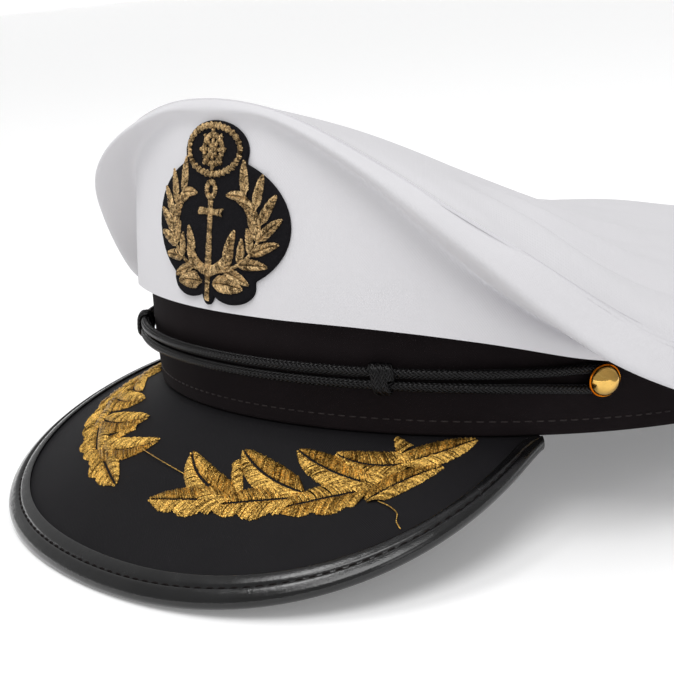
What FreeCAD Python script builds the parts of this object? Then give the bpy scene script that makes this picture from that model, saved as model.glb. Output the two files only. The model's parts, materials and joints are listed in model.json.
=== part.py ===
import FreeCAD, Part
import os
from math import atan, atan2, cos, degrees, hypot, pi, radians, sin, tan

# A military-style peaked cap, in millimetres, in its own size.
#
# The cap is drawn level on its head band: +X is the wearer's left, -Y is forward and +Z is up.
# Angles run round the band's oval from the front, positive towards the wearer's left, and `out`
# is how far a point stands outside the band's lower outer edge. At the end the whole cap is
# tipped back, so that it rests on the rear of the band and the rim of the visor, as it does on a
# table, and its origin goes to the middle of its underside.

Vector = FreeCAD.Vector

# ---------------------------------------------------------------- driving dimensions
BAND_HALF_LENGTH = 104.0      # outside of the band at its lower edge, front to back
BAND_HALF_WIDTH = 89.5
BAND_HEIGHT = 26.8
BAND_FLARE = 3.0              # how far the band leans out over its height
BACK_SEAM = 0.1               # half the angle in degrees left open where a ring's ends meet

COVER_CLOTH = 1.2             # cloth band, then what backs it, as depths from the outside
STIFFENER_DEPTH = 1.3
STIFFENER_THICK = 1.0
SWEATBAND_DEPTH = 3.3
SWEATBAND_THICK = 1.2
SWEATBAND_TOP = 24.0

VISOR_HALF_ANGLE = 57.8       # where the visor's ends run out under the band
VISOR_TURN = -1.0             # degrees: it sits this far round, towards the wearer's right
VISOR_LENGTH = 56.9           # down the slope, at the front, with the binding
VISOR_SQUARENESS = 3.4        # the rim's outline: higher is squarer
VISOR_FULLNESS = 0.771
VISOR_SLOPE_FRONT = 37.0      # degrees below level, at the front
VISOR_SLOPE_END = 17.7        # and at the ends
VISOR_TOP_THICK = 0.4
VISOR_BOARD_THICK = 0.95
VISOR_UNDER_THICK = 0.4
BINDING_WIDTH = 6.0
BINDING_THICK = 0.6
BINDING_NOSE = 1.6            # how far its rolled edge stands out past the layers

CROWN_CLOTH = 0.8
TOP_CLOTH = 0.9
LINING_CLOTH = 0.6
LINING_DROP = 5.0             # how far the lining hangs below the top panel
LINING_FOOT_OUT = -0.2        # where its side starts, on top of the band
LINING_HEAD_OUT = -4.6        # and where it meets the tip

CORD_RADIUS = 1.35
CORD_SPACING = 3.0            # between the two strands' centres
CORD_HEIGHT = 14.6
CORD_OUT = 4.9                # the strands stand clear of the band, on the two slide knots
KNOT_ANGLE = 32.8
BUTTON_ANGLE = 63.2
BUTTON_HEIGHT = 14.7

# The crown's side, by angle from the front: hem, wall top, lowest of the overhang, rim seam
STATIONS = [0, 15, 30, 45, 60, 75, 90, 135, 180]
HEM_OUT = [3.9, 4.4, 6.5, 8.0, 6.8, 5.8, 5.2, 5.2, 5.2]
HEM_Z = [27.0, 27.0, 26.9, 24.8, 20.2, 17.6, 16.8, 17.5, 19.0]
WALL_OUT = [1.0, 2.2, 7.0, 10.0, 8.5, 6.8, 6.0, 5.8, 5.8]
WALL_Z = [76.0, 74.3, 63.5, 42.5, 25.5, 20.5, 19.5, 20.5, 22.5]
ROLL_OUT = [1.8, 5.0, 12.5, 19.5, 24.0, 27.0, 28.5, 29.0, 28.5]
ROLL_Z = [76.9, 75.0, 64.5, 45.0, 22.8, 10.4, 9.6, 18.5, 27.0]
RIM_OUT = [0.6, 3.6, 10.5, 18.5, 24.0, 27.5, 29.0, 29.5, 28.0]

# The top panel is a saddle: a ridge along the middle that falls away with the square of x
TOP_Y = [-112, -100, -80, -60, -30, 0, 30, 60, 100, 140]
RIDGE_Z = [80.8, 79.8, 75.8, 70.2, 60.2, 52.6, 49.8, 48.6, 45.4, 41.8]
FALL = [0.0026, 0.0039, 0.0038, 0.0036, 0.0029, 0.0022, 0.0020, 0.0019, 0.0019, 0.0019]

# Embroidered sprays on the visor, by angle: nearest to and furthest from the band
SPRAY_ANGLES = [4, 11, 21, 31, 41, 47]
SPRAY_INNER = [28.5, 13.0, 8.0, 6.5, 3.0, 1.6]
SPRAY_OUTER = [33.0, 27.5, 20.0, 15.5, 9.5, 4.0]
EMBROIDERY_THICK = 0.7


# ---------------------------------------------------------------- helpers
def eased(places, values, place):
    """A smooth curve through the values, read off at one place."""
    place = min(max(place, places[0]), places[-1])
    last = len(places) - 1
    i = 0
    while i < last - 1 and place > places[i + 1]:
        i += 1

    def slope(k):
        low, high = max(k - 1, 0), min(k + 1, last)
        return (values[high] - values[low]) / (places[high] - places[low])

    width = places[i + 1] - places[i]
    s = (place - places[i]) / width
    start = (1 + 2 * s) * (1 - s) ** 2 * values[i] + s * (1 - s) ** 2 * width * slope(i)
    end = s * s * (3 - 2 * s) * values[i + 1] - s * s * (1 - s) * width * slope(i + 1)
    return start + end


def around(values, angle):
    """A crown size at an angle, the same on both sides of the cap."""
    return eased(STATIONS, values, abs(degrees(angle)))


def steps(first, last, count):
    """Evenly spaced numbers, both ends included."""
    return [first + (last - first) * k / (count - 1) for k in range(count)]


def oval(angle, out, z):
    """The point `out` mm outside the band's oval."""
    return Vector((BAND_HALF_WIDTH + out) * sin(angle), -(BAND_HALF_LENGTH + out) * cos(angle), z)


def outward(angle):
    """The level direction square to the oval."""
    normal = Vector(BAND_HALF_LENGTH * sin(angle), -BAND_HALF_WIDTH * cos(angle), 0)
    return normal.normalize()


def along(angle):
    """The level direction along the oval, towards the wearer's left at the front."""
    return Vector(0, 0, 1).cross(outward(angle))


def sewn(faces):
    """One closed solid from faces that share their edges."""
    skin_shape = Part.Compound(faces)
    skin_shape.sewShape()
    solid = Part.Solid(skin_shape.Shells[0])
    if solid.Volume < 0:
        solid.reverse()
    return solid


def skin(sections):
    """A solid through a run of polygons, with a flat end at the first and the last."""
    corners = range(len(sections[0]))
    middles = [sum(section, Vector()) / len(section) for section in sections]
    places = [0.0]
    for before, after in zip(middles, middles[1:]):
        places.append(places[-1] + (after - before).Length)
    rails = []
    for corner in corners:
        rail = Part.BSplineCurve()
        rail.interpolate(Points=[section[corner] for section in sections], Parameters=places)
        rails.append(rail.toShape())
    faces = [Part.makeRuledSurface(rails[corner - 1], rails[corner]) for corner in corners]
    for end in (sections[0], sections[-1]):
        faces.append(Part.Face(Part.makePolygon(end + end[:1])))
    return sewn(faces)


def ring(profile, half_angle=180 - BACK_SEAM, count=73):
    """A strip round the oval; profile(angle) lists its corners as (out, z)."""
    angles = [radians(a) for a in steps(-half_angle, half_angle, count)]
    return skin([[oval(a, out, z) for out, z in profile(a)] for a in angles])


def band_layer(depth, thick, low, high):
    """A strip of the head band, leaning out with it."""
    def profile(angle):
        lean = BAND_FLARE / BAND_HEIGHT
        return [
            (low * lean - depth, low),
            (high * lean - depth, high),
            (high * lean - depth - thick, high),
            (low * lean - depth - thick, low),
        ]
    return ring(profile)


# ---------------------------------------------------------------- crown
def top_height(x, y):
    return eased(TOP_Y, RIDGE_Z, y) - eased(TOP_Y, FALL, y) * x * x


def rim_height(angle):
    """Height of the side panel's upper edge, just under the top panel."""
    edge = oval(angle, around(RIM_OUT, angle), 0)
    return top_height(edge.x, edge.y) - TOP_CLOTH - 0.35


def smooth_run(points, parts):
    """Points along a smooth curve through a few (out, z) points."""
    knots = list(range(len(points)))
    outs = [p[0] for p in points]
    heights = [p[1] for p in points]
    places = steps(0, knots[-1], parts * knots[-1] + 1)
    return [(eased(knots, outs, s), eased(knots, heights, s)) for s in places]


def side_outline(angle):
    """Outside of the side panel: up the wall, out under the overhang, round to the rim."""
    rim = (around(RIM_OUT, angle), rim_height(angle))
    roll = (around(ROLL_OUT, angle), around(ROLL_Z, angle))
    bulge = (max(rim[0], roll[0]) + 1.0, 0.45 * roll[1] + 0.55 * rim[1])
    wall = (around(WALL_OUT, angle), around(WALL_Z, angle))
    return [(around(HEM_OUT, angle), around(HEM_Z, angle))] + smooth_run([wall, roll, bulge, rim], 3)


def side_profile(angle):
    """The side panel's outline with its cloth's thickness behind it."""
    outside = side_outline(angle)
    inside = []
    for i, (out, z) in enumerate(outside):
        before = outside[max(i - 1, 0)]
        after = outside[min(i + 1, len(outside) - 1)]
        rise, run = after[1] - before[1], after[0] - before[0]
        length = hypot(rise, run)
        inside.append((out - CROWN_CLOTH * rise / length, z + CROWN_CLOTH * run / length))
    inside[0] = (outside[0][0] - CROWN_CLOTH, outside[0][1])
    inside[-1] = (outside[-1][0] - CROWN_CLOTH, outside[-1][1])
    return outside + inside[::-1]


def wall_out(angle, z):
    """How far the wall stands out, on its straight run from hem to wall top."""
    low, high = around(HEM_Z, angle), around(WALL_Z, angle)
    share = (z - low) / (high - low)
    return around(HEM_OUT, angle) + share * (around(WALL_OUT, angle) - around(HEM_OUT, angle))


def oval_prism(out_at):
    """Everything inside an oval outline, seen from above."""
    angles = [radians(a) for a in steps(-180, 175, 72)]
    outline = Part.BSplineCurve()
    outline.interpolate(Points=[oval(a, out_at(a), -60) for a in angles], PeriodicFlag=True)
    return Part.Face(Part.Wire(outline.toShape())).extrude(Vector(0, 0, 220))


def top_slab(out_at, drop, thick):
    """A sheet that lies `drop` under the top of the crown, cut to an oval outline."""
    grid = [
        [Vector(x, y, top_height(x, y) - drop) for y in steps(-112, 140, 29)]
        for x in steps(-126, 126, 27)
    ]
    surface = Part.BSplineSurface()
    surface.interpolate(grid)
    sheet = surface.toShape().extrude(Vector(0, 0, -thick))
    return sheet.common(oval_prism(out_at)).Solids[0]


def crown_top():
    return top_slab(lambda angle: around(RIM_OUT, angle) + 1.0, 0.0, TOP_CLOTH)


def seam_allowance():
    """The turned-in edge of the cloth, hanging inside the rim seam."""
    inset, width, thick, below_top = 3.4, 3.6, 0.6, 0.3

    def profile(angle):
        out = around(RIM_OUT, angle) - inset
        edges = [oval(angle, out - k, 0) for k in (0, thick)]
        top_under = min(top_height(e.x, e.y) for e in edges) - TOP_CLOTH
        z = min(rim_height(angle), top_under - below_top)
        return [(out, z), (out, z - width), (out - thick, z - width), (out - thick, z)]
    return ring(profile)


def front_stiffener():
    """The springy panel that holds the front of the crown up."""
    behind, thick, low = 1.6, 1.8, 28.0

    def profile(angle):
        high = around(WALL_Z, angle) - 4.0
        near, far = wall_out(angle, low) - behind, wall_out(angle, high) - behind
        return [(near, low), (far, high), (far - thick, high), (near - thick, low)]
    return ring(profile, half_angle=37, count=21)


def lining_side():
    """The side of the lining, from just above the band to just under the tip."""
    below_tip, above_band = 0.25, 0.4

    def profile(angle):
        edges = [oval(angle, LINING_HEAD_OUT + near, 0) for near in (LINING_CLOTH, -LINING_CLOTH)]
        tip_under = min(top_height(e.x, e.y) for e in edges) - LINING_DROP - LINING_CLOTH
        high, low = tip_under - below_tip, BAND_HEIGHT + above_band
        return [
            (LINING_FOOT_OUT, low),
            (LINING_HEAD_OUT, high),
            (LINING_HEAD_OUT - LINING_CLOTH, high),
            (LINING_FOOT_OUT - LINING_CLOTH, low),
        ]
    return ring(profile)


def lining_tip():
    return top_slab(lambda angle: LINING_HEAD_OUT + LINING_CLOTH, LINING_DROP, LINING_CLOTH)


# ---------------------------------------------------------------- visor
VISOR_ROOT_DROP = 0.35        # the visor hangs this far below the band's lower edge
VISOR_ROOT = 2.4              # and reaches this far in under it
LAYER_GAP = 0.05


def visor_share(angle):
    return abs(degrees(angle)) / VISOR_HALF_ANGLE


def visor_rim(angle):
    """Distance down the visor to the rim of its layers, inside the binding's rolled nose."""
    full = 1 - visor_share(angle) ** VISOR_SQUARENESS
    overall = VISOR_LENGTH * full ** (1 / VISOR_FULLNESS)
    return overall ** 2 / (overall + BINDING_NOSE)


def visor_point(angle, distance, depth):
    """A point `distance` down the visor from the band, `depth` below its upper face."""
    slope = radians(
        VISOR_SLOPE_FRONT + (VISOR_SLOPE_END - VISOR_SLOPE_FRONT) * visor_share(angle) ** 2
    )
    level = -depth * tan(slope / 2)
    down = -VISOR_ROOT_DROP - depth
    if distance <= 0:
        level += distance
    else:
        level += distance * cos(slope)
        down -= distance * sin(slope)
    place = angle + radians(VISOR_TURN)
    return oval(place, 0, 0) + outward(place) * level + Vector(0, 0, down)


def visor_strip(corners, first=-VISOR_HALF_ANGLE + 1.3, last=VISOR_HALF_ANGLE - 1.3, count=49):
    """A strip along the visor; corners(angle) lists (distance, depth) pairs."""
    angles = [radians(a) for a in steps(first, last, count)]
    return skin([[visor_point(a, *corner) for corner in corners(a)] for a in angles])


def visor_layer(top, thick):
    def corners(angle):
        rim = visor_rim(angle) - 0.2
        return [
            (-VISOR_ROOT, top), (0, top), (rim, top),
            (rim, top + thick), (0, top + thick), (-VISOR_ROOT, top + thick),
        ]
    return visor_strip(corners)


BOARD_TOP = VISOR_TOP_THICK + LAYER_GAP
UNDER_TOP = BOARD_TOP + VISOR_BOARD_THICK + LAYER_GAP
VISOR_BOTTOM = UNDER_TOP + VISOR_UNDER_THICK


def binding_corners(angle):
    """The rolled edge: a C that wraps the rim of all three layers."""
    rim = visor_rim(angle)
    room = max(rim - 0.6, 0.5)
    width = (BINDING_WIDTH ** -4 + room ** -4) ** -0.25
    shoulder = rim - width / 15
    above = -LAYER_GAP - BINDING_THICK
    below = VISOR_BOTTOM + LAYER_GAP + BINDING_THICK
    middle = (above + below) / 2
    half = (below - above) / 2
    nose = [(rim + BINDING_NOSE * cos(a), middle + half * sin(a)) for a in steps(-1.25, 1.25, 7)]
    return [(rim - width, above), (shoulder, above)] + nose + [
        (shoulder, below),
        (rim - width, below),
        (rim - width, below - BINDING_THICK),
        (rim, below - BINDING_THICK),
        (rim, above + BINDING_THICK),
        (rim - width, above + BINDING_THICK),
    ]


def visor_spray(side):
    """A spray of embroidered leaves, as one raised patch."""
    def corners(angle):
        place = abs(degrees(angle))
        near = eased(SPRAY_ANGLES, SPRAY_INNER, place)
        far = eased(SPRAY_ANGLES, SPRAY_OUTER, place)
        low, high = -LAYER_GAP, -LAYER_GAP - EMBROIDERY_THICK
        return [(near, low), (near, high), (far, high), (far, low)]
    return visor_strip(corners, side * SPRAY_ANGLES[0], side * SPRAY_ANGLES[-1], 23)


# ---------------------------------------------------------------- badge
BADGE_TOP, BADGE_LOW = 75.2, 28.0
BADGE_OFFSET = 3.5            # the badge is sewn this far towards the wearer's left
BADGE_HALF_ANGLE = 22
PATCH_GAP, PATCH_THICK = 0.1, 1.0
THREAD_GAP, THREAD_THICK = 1.15, 0.8
ANCHOR_MIDDLE = 47.6           # heights of the anchor's shank and the wheel's hub
WHEEL_MIDDLE = 67.8
WREATH_HALF_WIDTH, WREATH_HALF_HEIGHT, WREATH_MIDDLE = 19.0, 13.0, 48.5


def badge_shell(gap, thick):
    """A layer that lies on the front wall, from which flat outlines are cut."""
    def profile(angle):
        low, high = wall_out(angle, BADGE_LOW), wall_out(angle, BADGE_TOP)
        return [
            (low + gap, BADGE_LOW), (high + gap, BADGE_TOP),
            (high + gap + thick, BADGE_TOP), (low + gap + thick, BADGE_LOW),
        ]
    return ring(profile, half_angle=BADGE_HALF_ANGLE, count=17)


def upright(x, z):
    """A point of the badge's flat drawing, in front of the cap."""
    return Vector(x + BADGE_OFFSET, -150, z)


def ellipse_face(x, z, half_width, half_height):
    turns = steps(0, 2 * pi, 33)[:-1]
    points = [upright(x + half_width * cos(a), z + half_height * sin(a)) for a in turns]
    outline = Part.BSplineCurve()
    outline.interpolate(Points=points, PeriodicFlag=True)
    return Part.Face(Part.Wire(outline.toShape()))


def bar_face(x, z, half_width, half_height, turn=0.0):
    """A straight bar about (x, z)."""
    corners = []
    for a, b in ((-1, -1), (1, -1), (1, 1), (-1, 1)):
        u, v = a * half_width, b * half_height
        corners.append(upright(x + u * cos(turn) - v * sin(turn), z + u * sin(turn) + v * cos(turn)))
    return Part.Face(Part.makePolygon(corners + corners[:1]))


def leaf_face(x, z, turn, length, half_width):
    """A leaf with its foot at (x, z), pointing at angle `turn`."""
    def at(u, v):
        return upright(x + u * cos(turn) - v * sin(turn), z + u * sin(turn) + v * cos(turn))
    foot, tip = at(0, 0), at(length, 0)
    upper = Part.Arc(foot, at(length * 0.5, half_width), tip).toShape()
    lower = Part.Arc(tip, at(length * 0.5, -half_width), foot).toShape()
    return Part.Face(Part.Wire([upper, lower]))


def on_badge(faces, gap, thick):
    """The outlines joined up and cut out of a layer on the front wall."""
    blocks = [face.extrude(Vector(0, 75, 0)) for face in faces]
    joined = blocks[0].multiFuse(blocks[1:]).removeSplitter()
    return joined.common(badge_shell(gap, thick)).Solids


def badge_patch():
    return on_badge([
        ellipse_face(0, 49.2, 26.2, 17.2),
        ellipse_face(0, 67.5, 12.4, 7.6),
        ellipse_face(-8.0, 34.2, 7.6, 4.4),
        ellipse_face(8.4, 34.0, 8.0, 4.8),
        ellipse_face(0, 31.6, 2.2, 3.2),
    ], PATCH_GAP, PATCH_THICK)


def badge_branch(side):
    """Half of the wreath: a curved stem with leaves in pairs."""
    faces = []
    spread, length, half_width = 0.45, 8.0, 1.6
    for place in steps(-80, 40, 7):
        turn = radians(place)
        x = side * WREATH_HALF_WIDTH * cos(turn)
        z = WREATH_MIDDLE + WREATH_HALF_HEIGHT * sin(turn)
        heading = pi / 2 + side * turn
        faces.append(leaf_face(x, z, heading + spread, length, half_width))
        faces.append(leaf_face(x, z, heading - spread, length, half_width))
        faces.append(bar_face(x, z, 3.2, 0.5, heading))
    return on_badge(faces, THREAD_GAP, THREAD_THICK)


def badge_anchor():
    """A plain anchor: ring, stock, shank, and two curved arms."""
    z = ANCHOR_MIDDLE
    eye = ellipse_face(0, z + 10.8, 2.0, 2.0).cut(ellipse_face(0, z + 10.8, 1.1, 1.1)).Faces[0]
    shank = bar_face(0, z, 0.7, 9.2)
    stock = bar_face(0, z + 6.8, 4.6, 0.6)
    arms = ellipse_face(0, z - 3.1, 7.2, 6.4).cut(ellipse_face(0, z - 1.4, 6.2, 6.2))
    arms = arms.cut(bar_face(0, z + 2.0, 9.0, 4.4)).Faces
    return on_badge([eye, shank, stock] + arms, THREAD_GAP, THREAD_THICK)


def badge_wheel():
    """A ship's wheel in the upper lobe, inside an oval rope: hub, rim, eight spokes."""
    z = WHEEL_MIDDLE
    faces = [ellipse_face(0, z, 1.2, 1.2)]
    faces.append(ellipse_face(0, z, 4.2, 4.2).cut(ellipse_face(0, z, 3.1, 3.1)).Faces[0])
    faces.append(ellipse_face(0, z, 10.8, 6.7).cut(ellipse_face(0, z, 9.6, 5.5)).Faces[0])
    for k in range(4):
        faces.append(bar_face(0, z, 5.2, 0.4, k * pi / 4))
    return on_badge(faces, THREAD_GAP, THREAD_THICK)


# ---------------------------------------------------------------- side buttons
SHANK_RADIUS = 0.9
SHANK_CLEARANCE = 0.08
SHANK_DEPTH = 3.0             # how far it reaches in behind the band's face
WASHER_RADIUS, WASHER_THICK, WASHER_DEPTH = 3.0, 0.45, 2.95
PLATE_GAP = 0.03              # between the dome and the plate inside it
CORD_STANDOFF = 1.6           # the cord's centre, from the band's face, behind a button
LOOP_RADIUS = 2.6             # of the cord round a button's shank
BUTTON_BASE = 3.22            # underside of the dome, from the band's face
DOME_RADIUS, DOME_HEIGHT, DOME_WALL = 4.0, 3.4, 0.4


def button_axis(side):
    lean = atan(BAND_FLARE / BAND_HEIGHT)
    return outward(side * radians(BUTTON_ANGLE)) * cos(lean) - Vector(0, 0, sin(lean))


def button_centre(side):
    """Where a button's axis meets the band's face."""
    out = BUTTON_HEIGHT * BAND_FLARE / BAND_HEIGHT
    return oval(side * radians(BUTTON_ANGLE), out, BUTTON_HEIGHT)


def on_button(side, shape):
    """Moves a shape drawn along +Z onto a button's axis."""
    turn = FreeCAD.Rotation(Vector(0, 0, 1), button_axis(side))
    shape.Placement = FreeCAD.Placement(button_centre(side), turn)
    return shape


def shank_hole(side):
    radius = SHANK_RADIUS + SHANK_CLEARANCE
    return on_button(side, Part.makeCylinder(radius, 8, Vector(0, 0, -4)))


def dome_ball(inset, low, high):
    """The dome's ball, made smaller by `inset`, between two heights above its base."""
    ball_radius = (DOME_RADIUS ** 2 + DOME_HEIGHT ** 2) / (2 * DOME_HEIGHT)
    centre = Vector(0, 0, BUTTON_BASE + DOME_HEIGHT - ball_radius)
    ball = Part.makeSphere(ball_radius - inset, centre)
    slice_radius = 2 * DOME_RADIUS
    return ball.common(Part.makeCylinder(slice_radius, high - low, Vector(0, 0, BUTTON_BASE + low)))


def button_dome(side):
    above = 2 * DOME_HEIGHT
    shell = dome_ball(0, 0, above).cut(dome_ball(DOME_WALL, -1, above))
    return on_button(side, shell.Solids[0])


def button_shank(side):
    """The post, with the plate that closes the dome's open side."""
    plate_thick = 0.5
    plate = dome_ball(DOME_WALL + PLATE_GAP, 0, plate_thick)
    length = SHANK_DEPTH + BUTTON_BASE + plate_thick / 2
    shank = Part.makeCylinder(SHANK_RADIUS, length, Vector(0, 0, -SHANK_DEPTH))
    return on_button(side, plate.fuse(shank).removeSplitter().Solids[0])


def button_washer(side):
    """A pressed-on washer, behind the band, that keeps the shank in."""
    washer = Part.makeCylinder(WASHER_RADIUS, WASHER_THICK, Vector(0, 0, -WASHER_DEPTH))
    through = Vector(0, 0, -WASHER_DEPTH - WASHER_THICK / 2)
    hole = Part.makeCylinder(SHANK_RADIUS + 0.02, 2 * WASHER_THICK, through)
    return on_button(side, washer.cut(hole))


# ---------------------------------------------------------------- chin cord
STRAND_END = 52.0             # the strands follow the band up to here, then run to the buttons
CORD_SIDES = 14
CORD_EASE = 18.0              # how gradually the strands leave the band for the buttons
CORD_ENDS_GAP = 0.02          # in radians of its turn, at each of the two ends


def strand_points(up):
    """One strand from the wearer's left to the right: (point, outward direction) pairs."""
    points = []
    for place in steps(STRAND_END, -STRAND_END, 41):
        angle = radians(place)
        near_end = (abs(place) / STRAND_END) ** 6
        z = CORD_HEIGHT + up * (1 + 0.25 * near_end) * CORD_SPACING / 2
        out = CORD_OUT - 0.9 * near_end
        points.append((oval(angle, out, z), outward(angle)))
    return points


def loop_point(side, turn):
    """A point of the cord's turn round a shank; turn 0 is over it and pi is under it."""
    axis = button_axis(side)
    level = Vector(0, 0, 1).cross(axis).normalize() * side
    rise = axis.cross(level) * side
    centre = button_centre(side) + axis * CORD_STANDOFF
    return centre + rise * (LOOP_RADIUS * cos(turn)) + level * (LOOP_RADIUS * sin(turn)), axis


def join(start, end, start_pull, end_pull, count=5):
    """Points between two places on a smooth curve with given end directions."""
    points = []
    for s in steps(0, 1, count + 2)[1:-1]:
        point = start[0] * ((1 + 2 * s) * (1 - s) ** 2) + end[0] * (s * s * (3 - 2 * s))
        point += start_pull * (s * (1 - s) ** 2) - end_pull * (s * s * (1 - s))
        points.append((point, start[1] * (1 - s) + end[1] * s))
    return points


def cord_route():
    """The whole cord, from behind the left button, round both shanks, back to where it began."""
    upper, lower = strand_points(1), strand_points(-1)[::-1]
    reach = CORD_EASE
    left_in = [loop_point(1, turn) for turn in steps(pi / 2 - CORD_ENDS_GAP, 0, 6)]
    right = [loop_point(-1, turn) for turn in steps(0, pi, 11)]
    left_out = [loop_point(1, turn) for turn in steps(pi, pi / 2 + CORD_ENDS_GAP, 6)]
    forward, back = radians(STRAND_END), radians(BUTTON_ANGLE)
    route = left_in
    route += join(left_in[-1], upper[0], along(back) * -reach, along(forward) * -reach)
    route += upper
    route += join(upper[-1], right[0], along(-forward) * -reach, along(-back) * -reach)
    route += right
    route += join(right[-1], lower[0], along(-back) * reach, along(-forward) * reach)
    route += lower
    route += join(lower[-1], left_out[0], along(forward) * reach, along(back) * reach)
    return route + left_out


def chin_cord():
    """The cord as a round tube; its two ends butt together behind the left button."""
    route = cord_route()
    sections, length = [], 0.0
    for i, (point, out) in enumerate(route):
        before, after = route[max(i - 1, 0)][0], route[min(i + 1, len(route) - 1)][0]
        length += (point - before).Length
        heading = (after - before).normalize()
        if i in (0, len(route) - 1):
            heading = button_axis(1).cross(point - button_centre(1)).normalize() * -1
        first = (out - heading * out.dot(heading)).normalize()
        second = heading.cross(first)
        turns = steps(0, 2 * pi * (1 - 1 / CORD_SIDES), CORD_SIDES)
        sections.append([
            point + (first * cos(t) + second * sin(t)) * CORD_RADIUS for t in turns
        ])
    print("chin cord length %.1f mm" % length)
    return skin(sections)


KNOT_LENGTH, KNOT_WALL, KNOT_CLEARANCE = 6.4, 0.9, 0.25
KNOT_CROWN = 0.15             # how much fuller its middle turn is


def stadium(grow):
    """A cross-section round both strands, drawn in (out, z) about their middle."""
    radius, half = CORD_RADIUS + grow, CORD_SPACING / 2
    low, high = Vector(0, 0, -half), Vector(0, 0, half)
    left, right, up = Vector(-radius, 0, 0), Vector(radius, 0, 0), Vector(0, 0, radius)
    return Part.Face(Part.Wire([
        Part.Arc(high + right, high + up, high + left).toShape(),
        Part.makeLine(high + left, low + left),
        Part.Arc(low + left, low - up, low + right).toShape(),
        Part.makeLine(low + right, high + right),
    ]))


def cord_knot(side):
    """A slide knot, as a sleeve of three turns that both strands run through."""
    turn_length = KNOT_LENGTH / 3
    sleeve = []
    for k in range(3):
        grow = KNOT_CLEARANCE + KNOT_WALL + KNOT_CROWN * (k == 1)
        turn = stadium(grow).extrude(Vector(0, turn_length, 0))
        turn.translate(Vector(0, -KNOT_LENGTH / 2 + k * turn_length, 0))
        sleeve.append(turn)
    hole = stadium(KNOT_CLEARANCE).extrude(Vector(0, 3 * KNOT_LENGTH, 0))
    hole.translate(Vector(0, -1.5 * KNOT_LENGTH, 0))
    knot = sleeve[0].multiFuse(sleeve[1:]).removeSplitter().cut(hole).Solids[0]
    angle = side * radians(KNOT_ANGLE)
    out = outward(angle)
    turn = FreeCAD.Rotation(Vector(0, 0, 1), degrees(atan2(out.y, out.x)))
    knot.Placement = FreeCAD.Placement(oval(angle, CORD_OUT, CORD_HEIGHT), turn)
    return knot


def knot_centre(side):
    """Centre of the cord's bend at a knot: the knot slides on an arc about it."""
    length, width = BAND_HALF_LENGTH + CORD_OUT, BAND_HALF_WIDTH + CORD_OUT
    angle = radians(KNOT_ANGLE)
    radius = hypot(length * sin(angle), width * cos(angle)) ** 3 / (length * width)
    return oval(side * angle, CORD_OUT, CORD_HEIGHT) - outward(side * angle) * radius


# ---------------------------------------------------------------- the whole cap
def band_cover():
    cloth = band_layer(0, COVER_CLOTH, 0, BAND_HEIGHT)
    return cloth.cut(shank_hole(1)).cut(shank_hole(-1))


def band_stiffener():
    board = band_layer(STIFFENER_DEPTH, STIFFENER_THICK, 0.4, BAND_HEIGHT - 0.4)
    return board.cut(shank_hole(1)).cut(shank_hole(-1))


def cap_pieces():
    """Every piece by name, with the cap level."""
    pieces = {
        "crown_top_panel": crown_top(),
        "crown_side_panel": ring(side_profile),
        "crown_seam_allowance": seam_allowance(),
        "crown_front_stiffener": front_stiffener(),
        "lining_side": lining_side(),
        "lining_tip": lining_tip(),
        "band_cover": band_cover(),
        "band_stiffener": band_stiffener(),
        "sweatband": band_layer(SWEATBAND_DEPTH, SWEATBAND_THICK, 0.3, SWEATBAND_TOP),
        "visor_top_cover": visor_layer(0, VISOR_TOP_THICK),
        "visor_board": visor_layer(BOARD_TOP, VISOR_BOARD_THICK),
        "visor_under_cover": visor_layer(UNDER_TOP, VISOR_UNDER_THICK),
        "visor_edge_binding": visor_strip(binding_corners),
        "badge_patch": badge_patch(),
        "badge_anchor": badge_anchor(),
        "badge_wheel": badge_wheel(),
        "chin_cord": chin_cord(),
    }
    for name, side in (("left", 1), ("right", -1)):
        pieces["visor_spray_" + name] = visor_spray(side)
        pieces["badge_wreath_" + name] = badge_branch(side)
        pieces["cord_knot_" + name] = cord_knot(side)
        pieces["button_dome_" + name] = button_dome(side)
        pieces["button_shank_" + name] = button_shank(side)
        pieces["button_washer_" + name] = button_washer(side)
    return pieces


def resting_tilt():
    """How far the cap tips back until the visor's rim meets the table, in degrees."""
    reach = 0.0
    for place in steps(-50, 50, 41):
        angle = radians(place)
        for corner in binding_corners(angle):
            point = visor_point(angle, *corner)
            reach = max(reach, atan2(-point.z, BAND_HALF_LENGTH - point.y))
    return degrees(reach)


def main():
    os.makedirs("parts", exist_ok=True)
    pieces = {}
    for name, shape in cap_pieces().items():
        pieces[name] = Part.Compound(shape) if isinstance(shape, list) else shape
    tilt = resting_tilt()
    for shape in pieces.values():
        shape.rotate(Vector(), Vector(1, 0, 0), -tilt)
    whole = Part.Compound(list(pieces.values())).optimalBoundingBox(True, False)
    lift = BAND_HALF_LENGTH * sin(radians(tilt))
    shift = Vector(0, -(whole.YMin + whole.YMax) / 2, lift)
    for name, shape in pieces.items():
        shape.translate(shift)
        bad = "" if shape.isValid() and shape.Volume > 0 else "  INVALID"
        print("%-24s %2d solids %9.1f mm3%s" % (name, len(shape.Solids), shape.Volume, bad))
        shape.exportStep("parts/%s.step" % name)

    tip = FreeCAD.Placement(shift, FreeCAD.Rotation(Vector(1, 0, 0), -tilt))
    print("tilt %.3f deg, shift" % tilt, shift, "lowest before lift %.3f" % whole.ZMin)
    for name, side in (("left", 1), ("right", -1)):
        print("button", name, tip.multVec(button_centre(side)), tip.Rotation.multVec(button_axis(side)))
        print("knot", name, tip.multVec(knot_centre(side)), tip.Rotation.multVec(Vector(0, 0, 1)))


main()
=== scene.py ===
import json
from math import atan, atan2, cos, hypot, pi, radians, sin

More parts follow.
